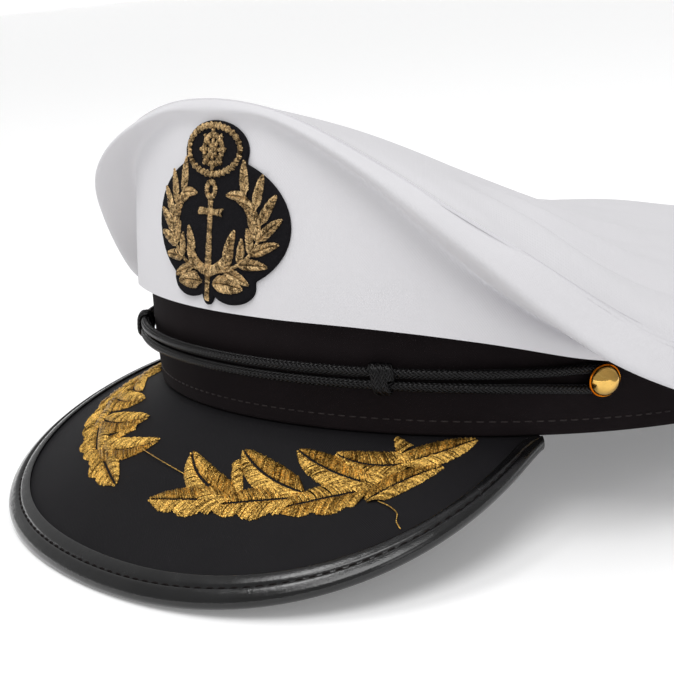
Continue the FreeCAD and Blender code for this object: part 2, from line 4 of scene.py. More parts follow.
import bpy
import numpy as np
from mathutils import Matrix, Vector


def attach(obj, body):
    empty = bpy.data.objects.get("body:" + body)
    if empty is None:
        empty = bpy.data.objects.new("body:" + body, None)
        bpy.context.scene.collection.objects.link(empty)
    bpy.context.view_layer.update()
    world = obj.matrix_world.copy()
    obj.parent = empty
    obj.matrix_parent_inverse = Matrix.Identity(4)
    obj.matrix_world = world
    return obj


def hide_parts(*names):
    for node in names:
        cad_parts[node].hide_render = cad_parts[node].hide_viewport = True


# The looks of a military-style peaked cap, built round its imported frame.
#
# Shapes are worked out in millimetres on the cap held level on its head band, as in its CAD
# source: +X is the wearer's left, -Y is forward, angles run round the band's oval from the front,
# and `out` is how far a point stands outside the band's lower edge. placed() then tips the cap
# back onto its visor and gives metres in the row frame.

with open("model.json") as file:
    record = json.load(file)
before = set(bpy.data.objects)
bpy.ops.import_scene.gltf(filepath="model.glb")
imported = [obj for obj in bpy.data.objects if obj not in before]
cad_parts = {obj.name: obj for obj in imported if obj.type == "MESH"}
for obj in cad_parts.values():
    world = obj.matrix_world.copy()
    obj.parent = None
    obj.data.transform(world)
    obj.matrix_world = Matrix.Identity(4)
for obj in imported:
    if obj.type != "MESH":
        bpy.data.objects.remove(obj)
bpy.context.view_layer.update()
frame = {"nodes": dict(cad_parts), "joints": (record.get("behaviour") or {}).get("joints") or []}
rng = np.random.default_rng(11)
scene = bpy.context.scene

MM = 0.001
SIDES = (("left", 1), ("right", -1))

# ---- sizes, as in the CAD source
BAND_HALF_LENGTH, BAND_HALF_WIDTH = 104.0, 89.5
BAND_HEIGHT, BAND_FLARE = 26.8, 3.0
BAND_LEAN = BAND_FLARE / BAND_HEIGHT
TOPSTITCH_Z = 3.7
COVER_CLOTH = 1.2

VISOR_HALF_ANGLE, VISOR_TURN = 57.8, -1.0
VISOR_LENGTH, VISOR_SQUARENESS, VISOR_FULLNESS = 56.9, 3.4, 0.771
VISOR_SLOPE_FRONT, VISOR_SLOPE_END = 37.0, 17.7
VISOR_ROOT, VISOR_ROOT_DROP = 2.4, 0.35
VISOR_CLOTH, VISOR_BOTTOM = 0.4, 1.85
BINDING_WIDTH, BINDING_THICK, BINDING_NOSE = 6.0, 0.6, 1.6

CROWN_CLOTH, TOP_CLOTH = 0.8, 0.9

CORD_RADIUS, CORD_SPACING, CORD_HEIGHT, CORD_OUT = 1.35, 3.0, 14.6, 4.9
CORD_STANDOFF, LOOP_RADIUS, STRAND_END = 1.6, 2.6, 52.0
KNOT_ANGLE = 32.8
BUTTON_ANGLE, BUTTON_HEIGHT, BUTTON_BASE = 63.2, 14.7, 3.22
DOME_RADIUS, DOME_HEIGHT, DOME_WALL = 4.0, 3.4, 0.4

# The crown's outline at these degrees round from the front: how far out and how high each line runs
STATIONS = [0, 15, 30, 45, 60, 75, 90, 135, 180]
HEM_OUT = [3.9, 4.4, 6.5, 8.0, 6.8, 5.8, 5.2, 5.2, 5.2]
HEM_Z = [27.0, 27.0, 26.9, 24.8, 20.2, 17.6, 16.8, 17.5, 19.0]
WALL_OUT = [1.0, 2.2, 7.0, 10.0, 8.5, 6.8, 6.0, 5.8, 5.8]
WALL_Z = [76.0, 74.3, 63.5, 42.5, 25.5, 20.5, 19.5, 20.5, 22.5]
ROLL_OUT = [1.8, 5.0, 12.5, 19.5, 24.0, 27.0, 28.5, 29.0, 28.5]
ROLL_Z = [76.9, 75.0, 64.5, 45.0, 22.8, 10.4, 9.6, 18.5, 27.0]
RIM_OUT = [0.6, 3.6, 10.5, 18.5, 24.0, 27.5, 29.0, 29.5, 28.0]
SHOULDER_STATIONS = [0, 14, 30, 50, 90, 180]
SHOULDER_DROP = [-0.2, 0.0, 1.0, 1.2, 1.3, 1.2]

# The crown's top from front to back: height of its middle line, and how it falls to each side
TOP_Y = [-112, -100, -80, -60, -30, 0, 30, 60, 100, 140]
RIDGE_Z = [80.8, 79.8, 75.8, 70.2, 60.2, 52.6, 49.8, 48.6, 45.4, 41.8]
FALL = [0.0026, 0.0039, 0.0038, 0.0036, 0.0029, 0.0022, 0.0020, 0.0019, 0.0019, 0.0019]


# ---- the cap's own shapes
def eased(places, values, place):
    """A smooth curve through the values; values may hold a row of numbers for each place."""
    places, values = np.asarray(places, float), np.asarray(values, float)
    last = len(places) - 1
    wide = (slice(None),) + (None,) * (values.ndim - 1)
    low, high = np.maximum(np.arange(last + 1) - 1, 0), np.minimum(np.arange(last + 1) + 1, last)
    slope = (values[high] - values[low]) / (places[high] - places[low])[wide]
    place = np.clip(place, places[0], places[-1])
    i = np.searchsorted(places[1:-1], place, side="left")
    width = places[i + 1] - places[i]
    s = (place - places[i]) / width
    start = (1 + 2 * s) * (1 - s) ** 2 * values[i] + s * (1 - s) ** 2 * width * slope[i]
    return start + s * s * (3 - 2 * s) * values[i + 1] - s * s * (1 - s) * width * slope[i + 1]


def around(values, angle):
    return eased(STATIONS, values, np.abs(np.degrees(angle)))


def unit(v):
    return v / np.maximum(np.linalg.norm(v, axis=-1, keepdims=True), 1e-12)


def spot(x, y, z):
    return np.stack(np.broadcast_arrays(x, y, z), -1).astype(float)


def oval(angle, out, z):
    return spot((BAND_HALF_WIDTH + out) * np.sin(angle), -(BAND_HALF_LENGTH + out) * np.cos(angle), z)


def outward(angle):
    """Square out of the band."""
    return unit(spot(BAND_HALF_LENGTH * np.sin(angle), -BAND_HALF_WIDTH * np.cos(angle), 0.0 * angle))


UP = np.array([0.0, 0.0, 1.0])


def along(angle):
    """Level along the band, the way that its angle grows."""
    return np.cross(UP, outward(angle))


def top_height(x, y):
    return eased(TOP_Y, RIDGE_Z, y) - eased(TOP_Y, FALL, y) * x * x


def wall_out(angle, z):
    low, high = around(HEM_Z, angle), around(WALL_Z, angle)
    share = (z - low) / (high - low)
    return around(HEM_OUT, angle) + share * (around(WALL_OUT, angle) - around(HEM_OUT, angle))


def visor_share(angle):
    return np.abs(np.degrees(angle)) / VISOR_HALF_ANGLE


def visor_rim(angle):
    full = np.maximum(1 - visor_share(angle) ** VISOR_SQUARENESS, 0)
    overall = VISOR_LENGTH * full ** (1 / VISOR_FULLNESS)
    return overall ** 2 / (overall + BINDING_NOSE)


def visor_point(angle, distance, depth):
    """A point `distance` down the visor from the band, `depth` below its upper face."""
    angle, distance, depth = np.broadcast_arrays(angle, distance, depth)
    gained = (VISOR_SLOPE_END - VISOR_SLOPE_FRONT) * visor_share(angle) ** 2
    slope = np.radians(VISOR_SLOPE_FRONT + gained)
    ahead = np.maximum(distance, 0)
    level = -depth * np.tan(slope / 2) + np.minimum(distance, 0) + ahead * np.cos(slope)
    down = -VISOR_ROOT_DROP - depth - ahead * np.sin(slope)
    place = angle + radians(VISOR_TURN)
    return oval(place, 0, 0) + outward(place) * level[..., None] + UP * down[..., None]


# ---- from the level cap to the row frame
JOINTS = {joint["name"]: joint for joint in frame["joints"]}
HINGE_AXIS = JOINTS["knot_left_slide"]["axis"]
TILT = atan2(HINGE_AXIS[1], HINGE_AXIS[2])


def tipped(points):
    x, y, z = np.moveaxis(np.asarray(points, float), -1, 0)
    return spot(x, y * cos(TILT) + z * sin(TILT), z * cos(TILT) - y * sin(TILT))


def button_centre(side):
    return oval(side * radians(BUTTON_ANGLE), BUTTON_HEIGHT * BAND_LEAN, BUTTON_HEIGHT)


def button_axis(side):
    lean = atan(BAND_LEAN)
    return outward(side * radians(BUTTON_ANGLE)) * cos(lean) - UP * sin(lean)


SHIFT = np.array(JOINTS["button_left_turn"]["pos_m"]) / MM - tipped(button_centre(1))


def placed(points):
    return (tipped(points) + SHIFT) * MM


# ---- meshes
def loft_faces(rows, columns, closed):
    """Quads between the cross-sections, and strips over the two ends of an open run."""
    i, j = np.meshgrid(np.arange(rows if closed else rows - 1), np.arange(columns), indexing="ij")
    i2, j2 = (i + 1) % rows, (j + 1) % columns
    quads = np.stack([i * columns + j, i2 * columns + j, i2 * columns + j2, i * columns + j2], -1)
    quads = quads.reshape(-1, 4)
    if closed:
        return quads
    c = np.arange(columns // 2 - 1)
    first = np.stack([c, c + 1, columns - 2 - c, columns - 1 - c], -1)
    last = first[:, ::-1] + (rows - 1) * columns
    return np.concatenate([quads, first, last])


def loft_places(sections, closed):
    """For each quad corner, its place in mm along the run and round the section."""
    rows, columns, _ = sections.shape
    ahead = np.linalg.norm(np.roll(sections, -1, 0) - sections, axis=-1).mean(1)
    along = np.concatenate([[0], np.cumsum(ahead)])
    steps = np.linalg.norm(np.roll(sections, -1, 1) - sections, axis=-1)
    across = np.concatenate([np.zeros((rows, 1)), np.cumsum(steps, 1)], 1)
    i, j = np.meshgrid(np.arange(rows if closed else rows - 1), np.arange(columns), indexing="ij")
    i2 = (i + 1) % rows
    corners = [
        spot(along[i], across[i, j], 0), spot(along[i + 1], across[i2, j], 0),
        spot(along[i + 1], across[i2, j + 1], 0), spot(along[i], across[i, j + 1], 0),
    ]
    places = np.stack(corners, -2)[..., :2].reshape(-1, 2)
    if closed:
        return places
    caps = 4 * 2 * (columns // 2 - 1)
    return np.concatenate([places, np.zeros((caps, 2))])


def solid_volume(points, faces):
    a, b, c, d = (points[faces[:, k]] for k in range(4))
    return (np.einsum("ij,ij->i", a, np.cross(b, c)) + np.einsum("ij,ij->i", a, np.cross(c, d))).sum()


def scene_object(name, data):
    made = bpy.data.objects.new(name, data)
    scene.collection.objects.link(made)
    return made


def cap_piece(name, points, faces, look, slot, body="cap", stands_for=(), places=None, tone=None, sharp=50):
    """A smooth mesh from level-cap points in mm, riding a body.

    places has two mm along the sheet for each face corner, and tone a number for each point.
    """
    mesh = bpy.data.meshes.new(name)
    mesh.from_pydata(placed(points).tolist(), [], faces)
    if places is not None:
        layer = mesh.uv_layers.new(name="mm")
        layer.data.foreach_set("uv", places.astype(np.float32).ravel())
    if tone is not None:
        layer = mesh.attributes.new("tone", "FLOAT", "POINT")
        layer.data.foreach_set("value", np.asarray(tone, np.float32))
    mesh.polygons.foreach_set("use_smooth", [True] * len(mesh.polygons))
    mesh.set_sharp_from_angle(angle=radians(sharp))
    mesh.materials.append(look)
    made = scene_object(name, mesh)
    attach(made, body)
    if stands_for:
        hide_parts(*stands_for)


def quad_piece(name, points, faces, look, places=None, **notes):
    """A piece all of quads, turned so that they face outward."""
    if solid_volume(points, faces) < 0:
        faces = faces[:, ::-1]
        if places is not None:
            places = places.reshape(-1, 4, 2)[:, ::-1].reshape(-1, 2)
    cap_piece(name, points, faces.tolist(), look, places=places, **notes)


def thread_piece(name, parts, look, **notes):
    """One piece from many threads, in sets of (points, faces, tone)."""
    sizes = [len(part[0]) for part in parts]
    starts = np.cumsum([0] + sizes)
    points = np.concatenate([part[0] for part in parts])
    faces = np.concatenate([part[1] + start for part, start in zip(parts, starts)])
    tone = np.concatenate([np.broadcast_to(part[2], size) for part, size in zip(parts, sizes)])
    quad_piece(name, points, faces, look, tone=tone, **notes)


def disc(rings):
    """A closed sheet from rings of points, out from its front's middle and back to its rear's middle."""
    count, turns, _ = rings.shape
    points = np.concatenate([rings.reshape(-1, 3), [rings[0].mean(0), rings[-1].mean(0)]])
    turn = np.arange(turns)
    after = (turn + 1) % turns
    row = np.arange(count - 1)[:, None] * turns
    quads = np.stack([row + turn, row + turns + turn, row + turns + after, row + after], -1).reshape(-1, 4)
    middle, last = count * turns, (count - 1) * turns
    front = np.stack([np.full(turns, middle), turn, after], -1)
    rear = np.stack([np.full(turns, middle + 1), last + after, last + turn], -1)
    corners = np.concatenate([quads.ravel(), front.ravel(), rear.ravel()])
    return points, quads.tolist() + front.tolist() + rear.tolist(), corners


def loft(name, sections, look, closed=False, **notes):
    rows, columns, _ = sections.shape
    faces = loft_faces(rows, columns, closed)
    quad_piece(name, sections.reshape(-1, 3), faces, look, places=loft_places(sections, closed), **notes)


def rods(centres, first, second, sides):
    """Many separate rods at once: centres (rod, step, xyz), with the section's two half axes."""
    count, length, _ = centres.shape
    turn = np.arange(sides) * 2 * pi / sides
    ring = first[..., None, :] * np.cos(turn)[:, None] + second[..., None, :] * np.sin(turn)[:, None]
    points = (centres[..., None, :] + ring).reshape(-1, 3)
    offsets = np.arange(count)[:, None, None] * length * sides
    return points, (loft_faces(length, sides, False) + offsets).reshape(-1, 4)


def laid_threads(centres, above, half_width, half_height, sides):
    """Rods that lie on a surface, whose outward side is `above`."""
    heading = unit(np.gradient(centres, axis=1))
    side = unit(np.cross(heading, above))
    return rods(centres, side * half_width, np.cross(side, heading) * half_height, sides)


def distances(line):
    """How far along a line of points each one lies."""
    return np.concatenate([[0], np.cumsum(np.linalg.norm(np.diff(line, axis=0), axis=1))])


def points_along(line, at):
    """The points that lie these distances along a line of points."""
    far = distances(line)
    return np.stack([np.interp(at, far, axis) for axis in line.T], -1)


def resampled(line, count):
    """Evenly spaced points along a line of points."""
    return points_along(line, np.linspace(0, distances(line)[-1], count))


def smoothed(values, weight, rounds, axis):
    """Slides values towards their neighbours' mean along one axis, the two ends held."""
    values = np.moveaxis(values.copy(), axis, 0)
    weight = np.moveaxis(np.broadcast_to(weight, np.moveaxis(values, 0, axis).shape), axis, 0)
    for _ in range(rounds):
        middle = (values[2:] + values[:-2]) / 2
        values[1:-1] += weight[1:-1] * (middle - values[1:-1])
    return np.moveaxis(values, 0, axis)


def normals(grid):
    """Unit normals of a ring of points (i round the cap, j across), pointing outward."""
    round_cap = np.roll(grid, -1, 0) - np.roll(grid, 1, 0)
    return unit(np.cross(round_cap, np.gradient(grid, axis=1)))


# ---- materials
FACTOR, FIRST, SECOND, MIXED = 0, 6, 7, 2      # sockets of a Mix node that mixes colours


class Look:
    """A material being put together from nodes."""

    def __init__(self, name, colour, roughness, **settings):
        self.material = bpy.data.materials.new(name)
        self.material.use_nodes = True
        self.tree = self.material.node_tree
        self.surface = self.tree.nodes["Principled BSDF"]
        settings = {"Base_Color": (*colour, 1), "Roughness": roughness, **settings}
        for key, value in settings.items():
            self.feed(self.surface, key.replace("_", " "), value)
        self.bump_height = None

    def add(self, kind, **settings):
        node = self.tree.nodes.new(kind)
        for key, value in settings.items():
            setattr(node, key, value)
        return node

    def feed(self, node, key, value):
        if isinstance(value, bpy.types.NodeSocket):
            self.tree.links.new(value, node.inputs[key])
        else:
            node.inputs[key].default_value = value

    def maths(self, operation, a, b=0.0, c=0.0):
        node = self.add("ShaderNodeMath", operation=operation)
        for k, value in enumerate((a, b, c)):
            self.feed(node, k, value)
        return node.outputs[0]

    def place(self):
        """Place in mm: from the mesh's own coordinates in metres."""
        node = self.add("ShaderNodeVectorMath", operation="SCALE")
        self.feed(node, "Vector", self.add("ShaderNodeTexCoord").outputs["Object"])
        self.feed(node, "Scale", 1 / MM)
        return node.outputs[0]

    def tone(self):
        """Each thread's own number, 0 to 1."""
        return self.add("ShaderNodeAttribute", attribute_name="tone").outputs["Fac"]

    def noise(self, size, detail=3.0):
        """Smooth noise about 0.5 with features `size` mm across."""
        node = self.add("ShaderNodeTexNoise")
        self.feed(node, "Vector", self.place())
        self.feed(node, "Scale", 1 / size)
        self.feed(node, "Detail", detail)
        return node.outputs["Fac"]

    def weave(self, pitch):
        """Height of a plain weave, 0 to 1: warp and weft change places every thread."""
        split = self.add("ShaderNodeSeparateXYZ")
        self.feed(split, 0, self.add("ShaderNodeUVMap", uv_map="mm").outputs["UV"])
        u = self.maths("MULTIPLY", split.outputs[0], pi / pitch)
        v = self.maths("MULTIPLY", split.outputs[1], pi / pitch)
        over = self.maths("MULTIPLY", self.maths("SINE", u), self.maths("SINE", v))
        return self.maths("MULTIPLY_ADD", over, 0.5, 0.5)

    def mixed(self, factor, a, b):
        node = self.add("ShaderNodeMix", data_type="RGBA")
        self.feed(node, FACTOR, factor)
        for key, value in ((FIRST, a), (SECOND, b)):
            self.feed(node, key, value if isinstance(value, bpy.types.NodeSocket) else (*value, 1))
        return node.outputs[MIXED]

    def ramp(self, value, low, high):
        node = self.add("ShaderNodeMapRange")
        for k, source in enumerate((value, low, high)):
            self.feed(node, k, source)
        return node.outputs[0]

    def tint(self, colour):
        self.feed(self.surface, "Base Color", colour)

    def rough(self, value):
        self.feed(self.surface, "Roughness", value)

    def bump(self, height, distance, strength=1.0):
        """Adds a bump `distance` mm high; later bumps ride on earlier ones."""
        node = self.add("ShaderNodeBump")
        for key, value in (("Distance", distance * MM), ("Strength", strength), ("Height", height)):
            self.feed(node, key, value)
        if self.bump_height is not None:
            self.feed(node, "Normal", self.bump_height)
        self.bump_height = node.outputs["Normal"]
        self.feed(self.surface, "Normal", self.bump_height)
        self.feed(self.surface, "Coat Normal", self.bump_height)


def shade(colour, factor):
    return tuple(c * factor for c in colour)


def cloth(name, colour, roughness, pitch, sheen, weave_height=0.05, vary=0.06, mottle=14.0, specular=0.25):
    look = Look(name, colour, roughness, Sheen_Weight=sheen, Sheen_Roughness=0.4, Specular_IOR_Level=specular)
    tone = look.ramp(look.noise(mottle, 4.0), 0.3, 0.7)
    thread = look.noise(pitch * 3, 2.0)
    base = look.mixed(tone, shade(colour, 1 - vary), shade(colour, 1 + vary * 0.5))
    look.tint(look.mixed(look.maths("MULTIPLY", thread, 0.35), base, shade(colour, 1 - 2 * vary)))
    look.bump(look.weave(pitch), weave_height)
    look.bump(look.noise(2.2, 3.0), 0.05, 0.6)
    return look.material


def leather(name, colour, roughness, grain, height, coat=0.0):
    look = Look(name, colour, roughness, Coat_Weight=coat, Coat_Roughness=0.18, Specular_IOR_Level=0.2)
    cells = look.add("ShaderNodeTexVoronoi", feature="DISTANCE_TO_EDGE")
    look.feed(cells, "Vector", look.place())
    look.feed(cells, "Scale", 1 / grain)
    look.bump(cells.outputs["Distance"], height)
    look.bump(look.noise(3.5, 3.0), 0.12, 0.7)
    wear = look.ramp(look.noise(9.0, 5.0), 0.35, 0.75)
    look.tint(look.mixed(wear, shade(colour, 0.8), shade(colour, 1.6)))
    look.rough(look.maths("MULTIPLY_ADD", wear, 0.16, roughness - 0.08))
    return look.material


def metal_thread(name, bright, deep, roughness):
    look = Look(name, bright, roughness, Metallic=0.85)
    patch = look.ramp(look.noise(2.6, 4.0), 0.3, 0.75)
    # Painted glints: a fine noise pushes small spots of the thread's colour towards the bright gold, standing
    # in for light sparkling off the threads.
    painted_glint = look.ramp(look.noise(0.42, 1.0), 0.36, 0.64)
    mixed = look.maths("MULTIPLY_ADD", patch, 0.25, look.maths("MULTIPLY", look.tone(), 0.40))
    mixed = look.ramp(look.maths("MULTIPLY_ADD", painted_glint, 0.35, mixed), 0.24, 0.80)
    look.tint(look.mixed(mixed, deep, bright))
    look.bump(look.noise(0.45, 2.0), 0.45)
    look.rough(look.maths("MULTIPLY_ADD", look.noise(0.7), 0.3, roughness - 0.14))
    return look.material


def polished_metal(name, colour, roughness):
    look = Look(name, colour, roughness, Metallic=1.0)
    haze = look.ramp(look.noise(1.8, 5.0), 0.35, 0.8)
    look.rough(look.maths("MULTIPLY_ADD", haze, 0.14, roughness - 0.03))
    look.tint(look.mixed(haze, colour, shade(colour, 0.82)))
    look.bump(look.noise(0.9, 4.0), 0.004)
    return look.material


def board(name, colour):
    look = Look(name, colour, 0.85)
    look.tint(look.mixed(look.noise(1.1, 6.0), shade(colour, 0.75), shade(colour, 1.15)))
    look.bump(look.noise(0.5, 4.0), 0.08)
    return look.material


def braid_look():
    look = Look("cord_rayon", (0.006, 0.0055, 0.006), 0.24, Specular_IOR_Level=0.26)
    look.tint(look.mixed(look.tone(), (0.0008, 0.0007, 0.0008), (0.0036, 0.0031, 0.0035)))
    look.bump(look.noise(0.14, 2.0), 0.05, 0.8)
    return look.material


def felt_look():
    look = Look("badge_black_felt", (0.007, 0.006, 0.008), 0.95, Specular_IOR_Level=0.06)
    look.tint(look.mixed(look.noise(0.8, 5.0), (0.005, 0.005, 0.006), (0.013, 0.012, 0.014)))
    look.bump(look.noise(0.35, 4.0), 0.2)
    return look.material


# Cloth: colour, roughness, thread pitch, sheen, weave height, variation, mottle size. Leather:
# colour, roughness, grain size, grain height, coat. Metal: colour, roughness.
WHITE = cloth("white_crown_cloth", (0.672, 0.664, 0.686), 0.95, 0.42, 0.05, 0.03, 0.015, 22.0)
BLACK = cloth("black_band_cloth", (0.0105, 0.0078, 0.0086), 0.85, 0.34, 0.0, 0.05, 0.15, specular=0.06)
VISOR = cloth("visor_fabric", (0.0100, 0.0094, 0.0108), 0.60, 0.30, 0.0, 0.04, 0.12, specular=0.10)
LINING = cloth("lining_satin", (0.55, 0.55, 0.57), 0.45, 0.25, 0.2, 0.02, 0.03)
FOAM = board("stiff_foam_panel", (0.75, 0.75, 0.73))
BOARD = board("band_pressed_board", (0.32, 0.27, 0.2))
PEAK = board("visor_moulded_board", (0.05, 0.05, 0.05))
SWEAT = leather("sweatband_leather_look", (0.028, 0.024, 0.022), 0.55, 0.9, 0.05)
UNDER = leather("visor_under_lining", (0.018, 0.018, 0.018), 0.6, 0.6, 0.04)
BINDING = leather("glossy_binding", (0.0045, 0.0045, 0.0048), 0.24, 0.6, 0.032, 0.7)
GOLD_THREAD = metal_thread("gold_satin_thread", (1.0, 0.61, 0.145), (0.10, 0.048, 0.006), 0.32)
BADGE_THREAD = metal_thread("pale_gold_thread", (0.80, 0.56, 0.28), (0.06, 0.034, 0.011), 0.34)
GOLD = polished_metal("polished_gilt", (0.86, 0.53, 0.14), 0.13)
STEEL = polished_metal("washer_steel_look", (0.55, 0.55, 0.55), 0.3)
BACK_PLATE = polished_metal("button_back_plate", (0.6, 0.45, 0.2), 0.35)
CORD = braid_look()
FELT = felt_look()
STITCH = cloth("black_stitch_thread", (0.010, 0.007, 0.007), 0.6, 0.2, 0.0, specular=0.1)
# The band's topstitch thread is coloured lighter than the binding's stitch thread as a painted glint, so that
# the stitch line shows pale as if catching the light.
BAND_STITCH_GLINT = cloth("band_stitch_thread_painted_glint", (0.022, 0.016, 0.016), 0.5, 0.2, 0.0, specular=0.3)


# ---- crown
AROUND = np.radians(np.arange(-180, 180, 0.75))
SIDE_ROWS = 90
SEAM_START, SEAM_FULL = 14, 48        # degrees from the front where the pinched seam begins and is whole
STIFF_END, SOFT_START = 22, 42        # degrees from the front where the cloth stops being held flat
TOP_MIDDLE = np.array([0.0, 10.0])


def ripple(points, size, seed):
    """Gentle unevenness of soft cloth, about -1 to 1, with swells `size` mm across."""
    draw = np.random.default_rng(seed)
    total = np.zeros(points.shape[:-1])
    for _ in range(9):
        heading = unit(draw.normal(size=3))
        swells = 2 * pi / (size * draw.uniform(0.7, 1.5))
        total += np.sin(points @ heading * swells + draw.uniform(0, 2 * pi))
    return total / 4.5


def hill(value, middle, spread):
    """A smooth bump of height 1."""
    return np.exp(-((value - middle) / spread) ** 2)


def shoulder_drop(angle):
    """How far the cloth's shoulder rounds down to the seam, past the front."""
    return eased(SHOULDER_STATIONS, SHOULDER_DROP, np.abs(np.degrees(angle)))


def grows(angle, start, full):
    """0 up to one number of degrees from the front, and 1 from another on."""
    return np.clip((np.abs(np.degrees(angle)) - start) / (full - start), 0, 1)


def seam_share(angle):
    """How much of a pinched seam shows: nothing at the front, all of it from the temples back."""
    s = grows(angle, SEAM_START, SEAM_FULL)
    return s * s * (3 - 2 * s)


def side_outline(angle, samples):
    """Outside of the side panel, hem to rim, as (out, z) columns for each angle."""
    degree = np.degrees(angle)
    away = np.abs(degree)                                     # from the front, to either side
    rim_out = around(RIM_OUT, angle) + 0.3
    edge = oval(angle, rim_out, 0)
    rim = np.stack([rim_out, top_height(edge[:, 0], edge[:, 1]) - shoulder_drop(angle) - 0.35])
    roll = np.stack([around(ROLL_OUT, angle), around(ROLL_Z, angle)])
    roll[1] -= 1.0 * hill(away, 45, 18)
    bulge = np.stack([np.maximum(rim[0], roll[0]) + 1.2, 0.5 * roll[1] + 0.5 * rim[1]])
    bulge[0] += 3.2 * hill(degree, -37, 13)
    wall = np.stack([around(WALL_OUT, angle), around(WALL_Z, angle)])
    wall[1] -= 1.8 * hill(away, 47, 16)
    tuck = np.stack([3.7 * hill(away, 50, 13), 0 * away])        # in under the roll
    hem = np.stack([around(HEM_OUT, angle), around(HEM_Z, angle)])
    upper = np.stack([wall - tuck, roll, bulge, rim])
    run = [hem + (wall - hem) * s - tuck * s ** 3 for s in np.linspace(0, 1, 24, endpoint=False)]
    run += [eased([0, 1, 2, 3], upper, s) for s in np.linspace(0, 3, 60)]
    lines = np.moveaxis(np.stack(run), 2, 0)                  # angle, step, (out, z)
    return np.stack([resampled(line, samples) for line in lines])


def crown_side():
    """Outer and inner face of the side cloth. Over the stiff front it keeps its line; elsewhere it swells."""
    softness = 0.9 * hill(np.degrees(AROUND), 0, 40) + 0.1
    profile = smoothed(side_outline(AROUND, SIDE_ROWS), softness[:, None, None], 10, 1)
    outer = oval(AROUND[:, None], profile[..., 0], profile[..., 1])
    free = grows(AROUND, STIFF_END, SOFT_START)[:, None]
    outer = outer + normals(outer) * (0.35 * free * ripple(outer, 34, 3))[..., None]
    inner = outer - normals(outer) * CROWN_CLOTH
    return np.concatenate([outer, inner[:, ::-1]], 1)


def crown_top():
    """Rings of points over the top, from its middle to the pinched seam, and back underneath."""
    rings = np.concatenate([np.linspace(0.02, 0.93, 60), np.linspace(0.94, 1.0, 14)])
    pinch = seam_share(AROUND)
    edge = oval(AROUND, around(RIM_OUT, AROUND) + 0.35 + 0.35 * pinch, 0)[:, :2]
    flat = TOP_MIDDLE + rings[:, None, None] * (edge - TOP_MIDDLE)       # ring, angle, (x, y)
    inset = (1 - rings)[:, None] * np.linalg.norm(edge - TOP_MIDDLE, axis=1)
    z = top_height(flat[..., 0], flat[..., 1]) - shoulder_drop(AROUND) * np.exp(-inset / 5.5)
    z = z + pinch * (0.45 * hill(inset, 0, 0.9) - 1.1 * hill(inset, 3.0, 2.2))
    upper = np.concatenate([flat, z[..., None]], -1)
    upper[..., 2] += 0.4 * ripple(upper, 38, 5) * np.clip(inset / 12, 0, 1)
    upper[..., 2] += top_folds(upper)
    return np.concatenate([upper, upper[::-1] - UP * TOP_CLOTH])


def nearest(points, line):
    """Distance in plan from each point to a line of (x, y) points, and its share along the line."""
    line = np.asarray(line, float)
    best = np.full(points.shape[:-1], np.inf)
    share = np.zeros(points.shape[:-1])
    last = len(line) - 1
    for k in range(last):
        a, d = line[k], line[k + 1] - line[k]
        off = points[..., :2] - a
        s = np.clip((off @ d) / (d @ d), 0, 1)
        gap = off - s[..., None] * d
        far = np.hypot(gap[..., 0], gap[..., 1])
        share = np.where(far < best, (k + s) / last, share)
        best = np.minimum(far, best)
    return best, share


# Folds of the loose top: where each runs (x, y), height in mm (+ ridge, - valley), half width
TOP_FOLDS = [
    ([(56, -80), (66, -76), (79, -68), (90, -57), (98, -36)], 2.4, 4.2),
    ([(70, -84), (82, -76), (94, -64), (104, -52), (110, -30)], -2.5, 4.0),
    ([(50, -66), (60, -58), (72, -50), (82, -30), (87, 0)], 2.4, 4.6),
    ([(56, -72), (68, -64), (80, -52), (91, -34), (96, -10)], -2.6, 3.8),
    ([(44, -60), (54, -48), (63, -28), (68, 6)], -1.7, 5.5),
    ([(36, -56), (48, -36), (56, -10), (58, 24)], 1.6, 6.5),
    ([(-66, -80), (-74, -66), (-86, -50), (-92, -24)], 1.8, 5.0),
    ([(-60, -66), (-70, -50), (-78, -28), (-82, 4)], -1.8, 5.0),
    ([(-92, 20), (-70, 60), (-40, 96)], 1.6, 7.0),
    ([(88, 44), (62, 78), (30, 104)], 1.7, 7.0),
    ([(76, 40), (52, 70), (24, 92)], -1.5, 6.0),
]


def top_folds(points):
    total = np.zeros(points.shape[:-1])
    for line, height, half in TOP_FOLDS:
        knots = np.arange(len(line))
        smooth_line = [eased(knots, line, s) for s in np.linspace(0, knots[-1], 25)]
        far, share = nearest(points, smooth_line)
        total += height * hill(far, 0, half) * np.sin(pi * share) ** 1.5
    return total


loft("crown_side_cloth", crown_side(), WHITE, closed=True, slot="white_cloth",
     stands_for=["crown_side_panel"])
points, faces, corners = disc(crown_top())
cap_piece("crown_top_cloth", points, faces, WHITE, slot="white_cloth", stands_for=["crown_top_panel"],
          places=points[corners, :2], sharp=60)


# ---- head band
def band_point(angle, depth, z):
    return oval(angle, z * BAND_LEAN - depth, z)


def band_cloth():
    z = np.concatenate([[0.0, 0.25], np.linspace(0.8, BAND_HEIGHT - 0.8, 26), [BAND_HEIGHT]])
    swell = 0.3 * np.sin(pi * z / BAND_HEIGHT) - 0.28 * hill(z, TOPSTITCH_Z, 0.5)
    swell[0] = -0.3
    outer = band_point(AROUND[:, None], -swell, z)
    inner = band_point(AROUND[:, None], COVER_CLOTH, z[::-1])
    return np.concatenate([outer, inner], 1)


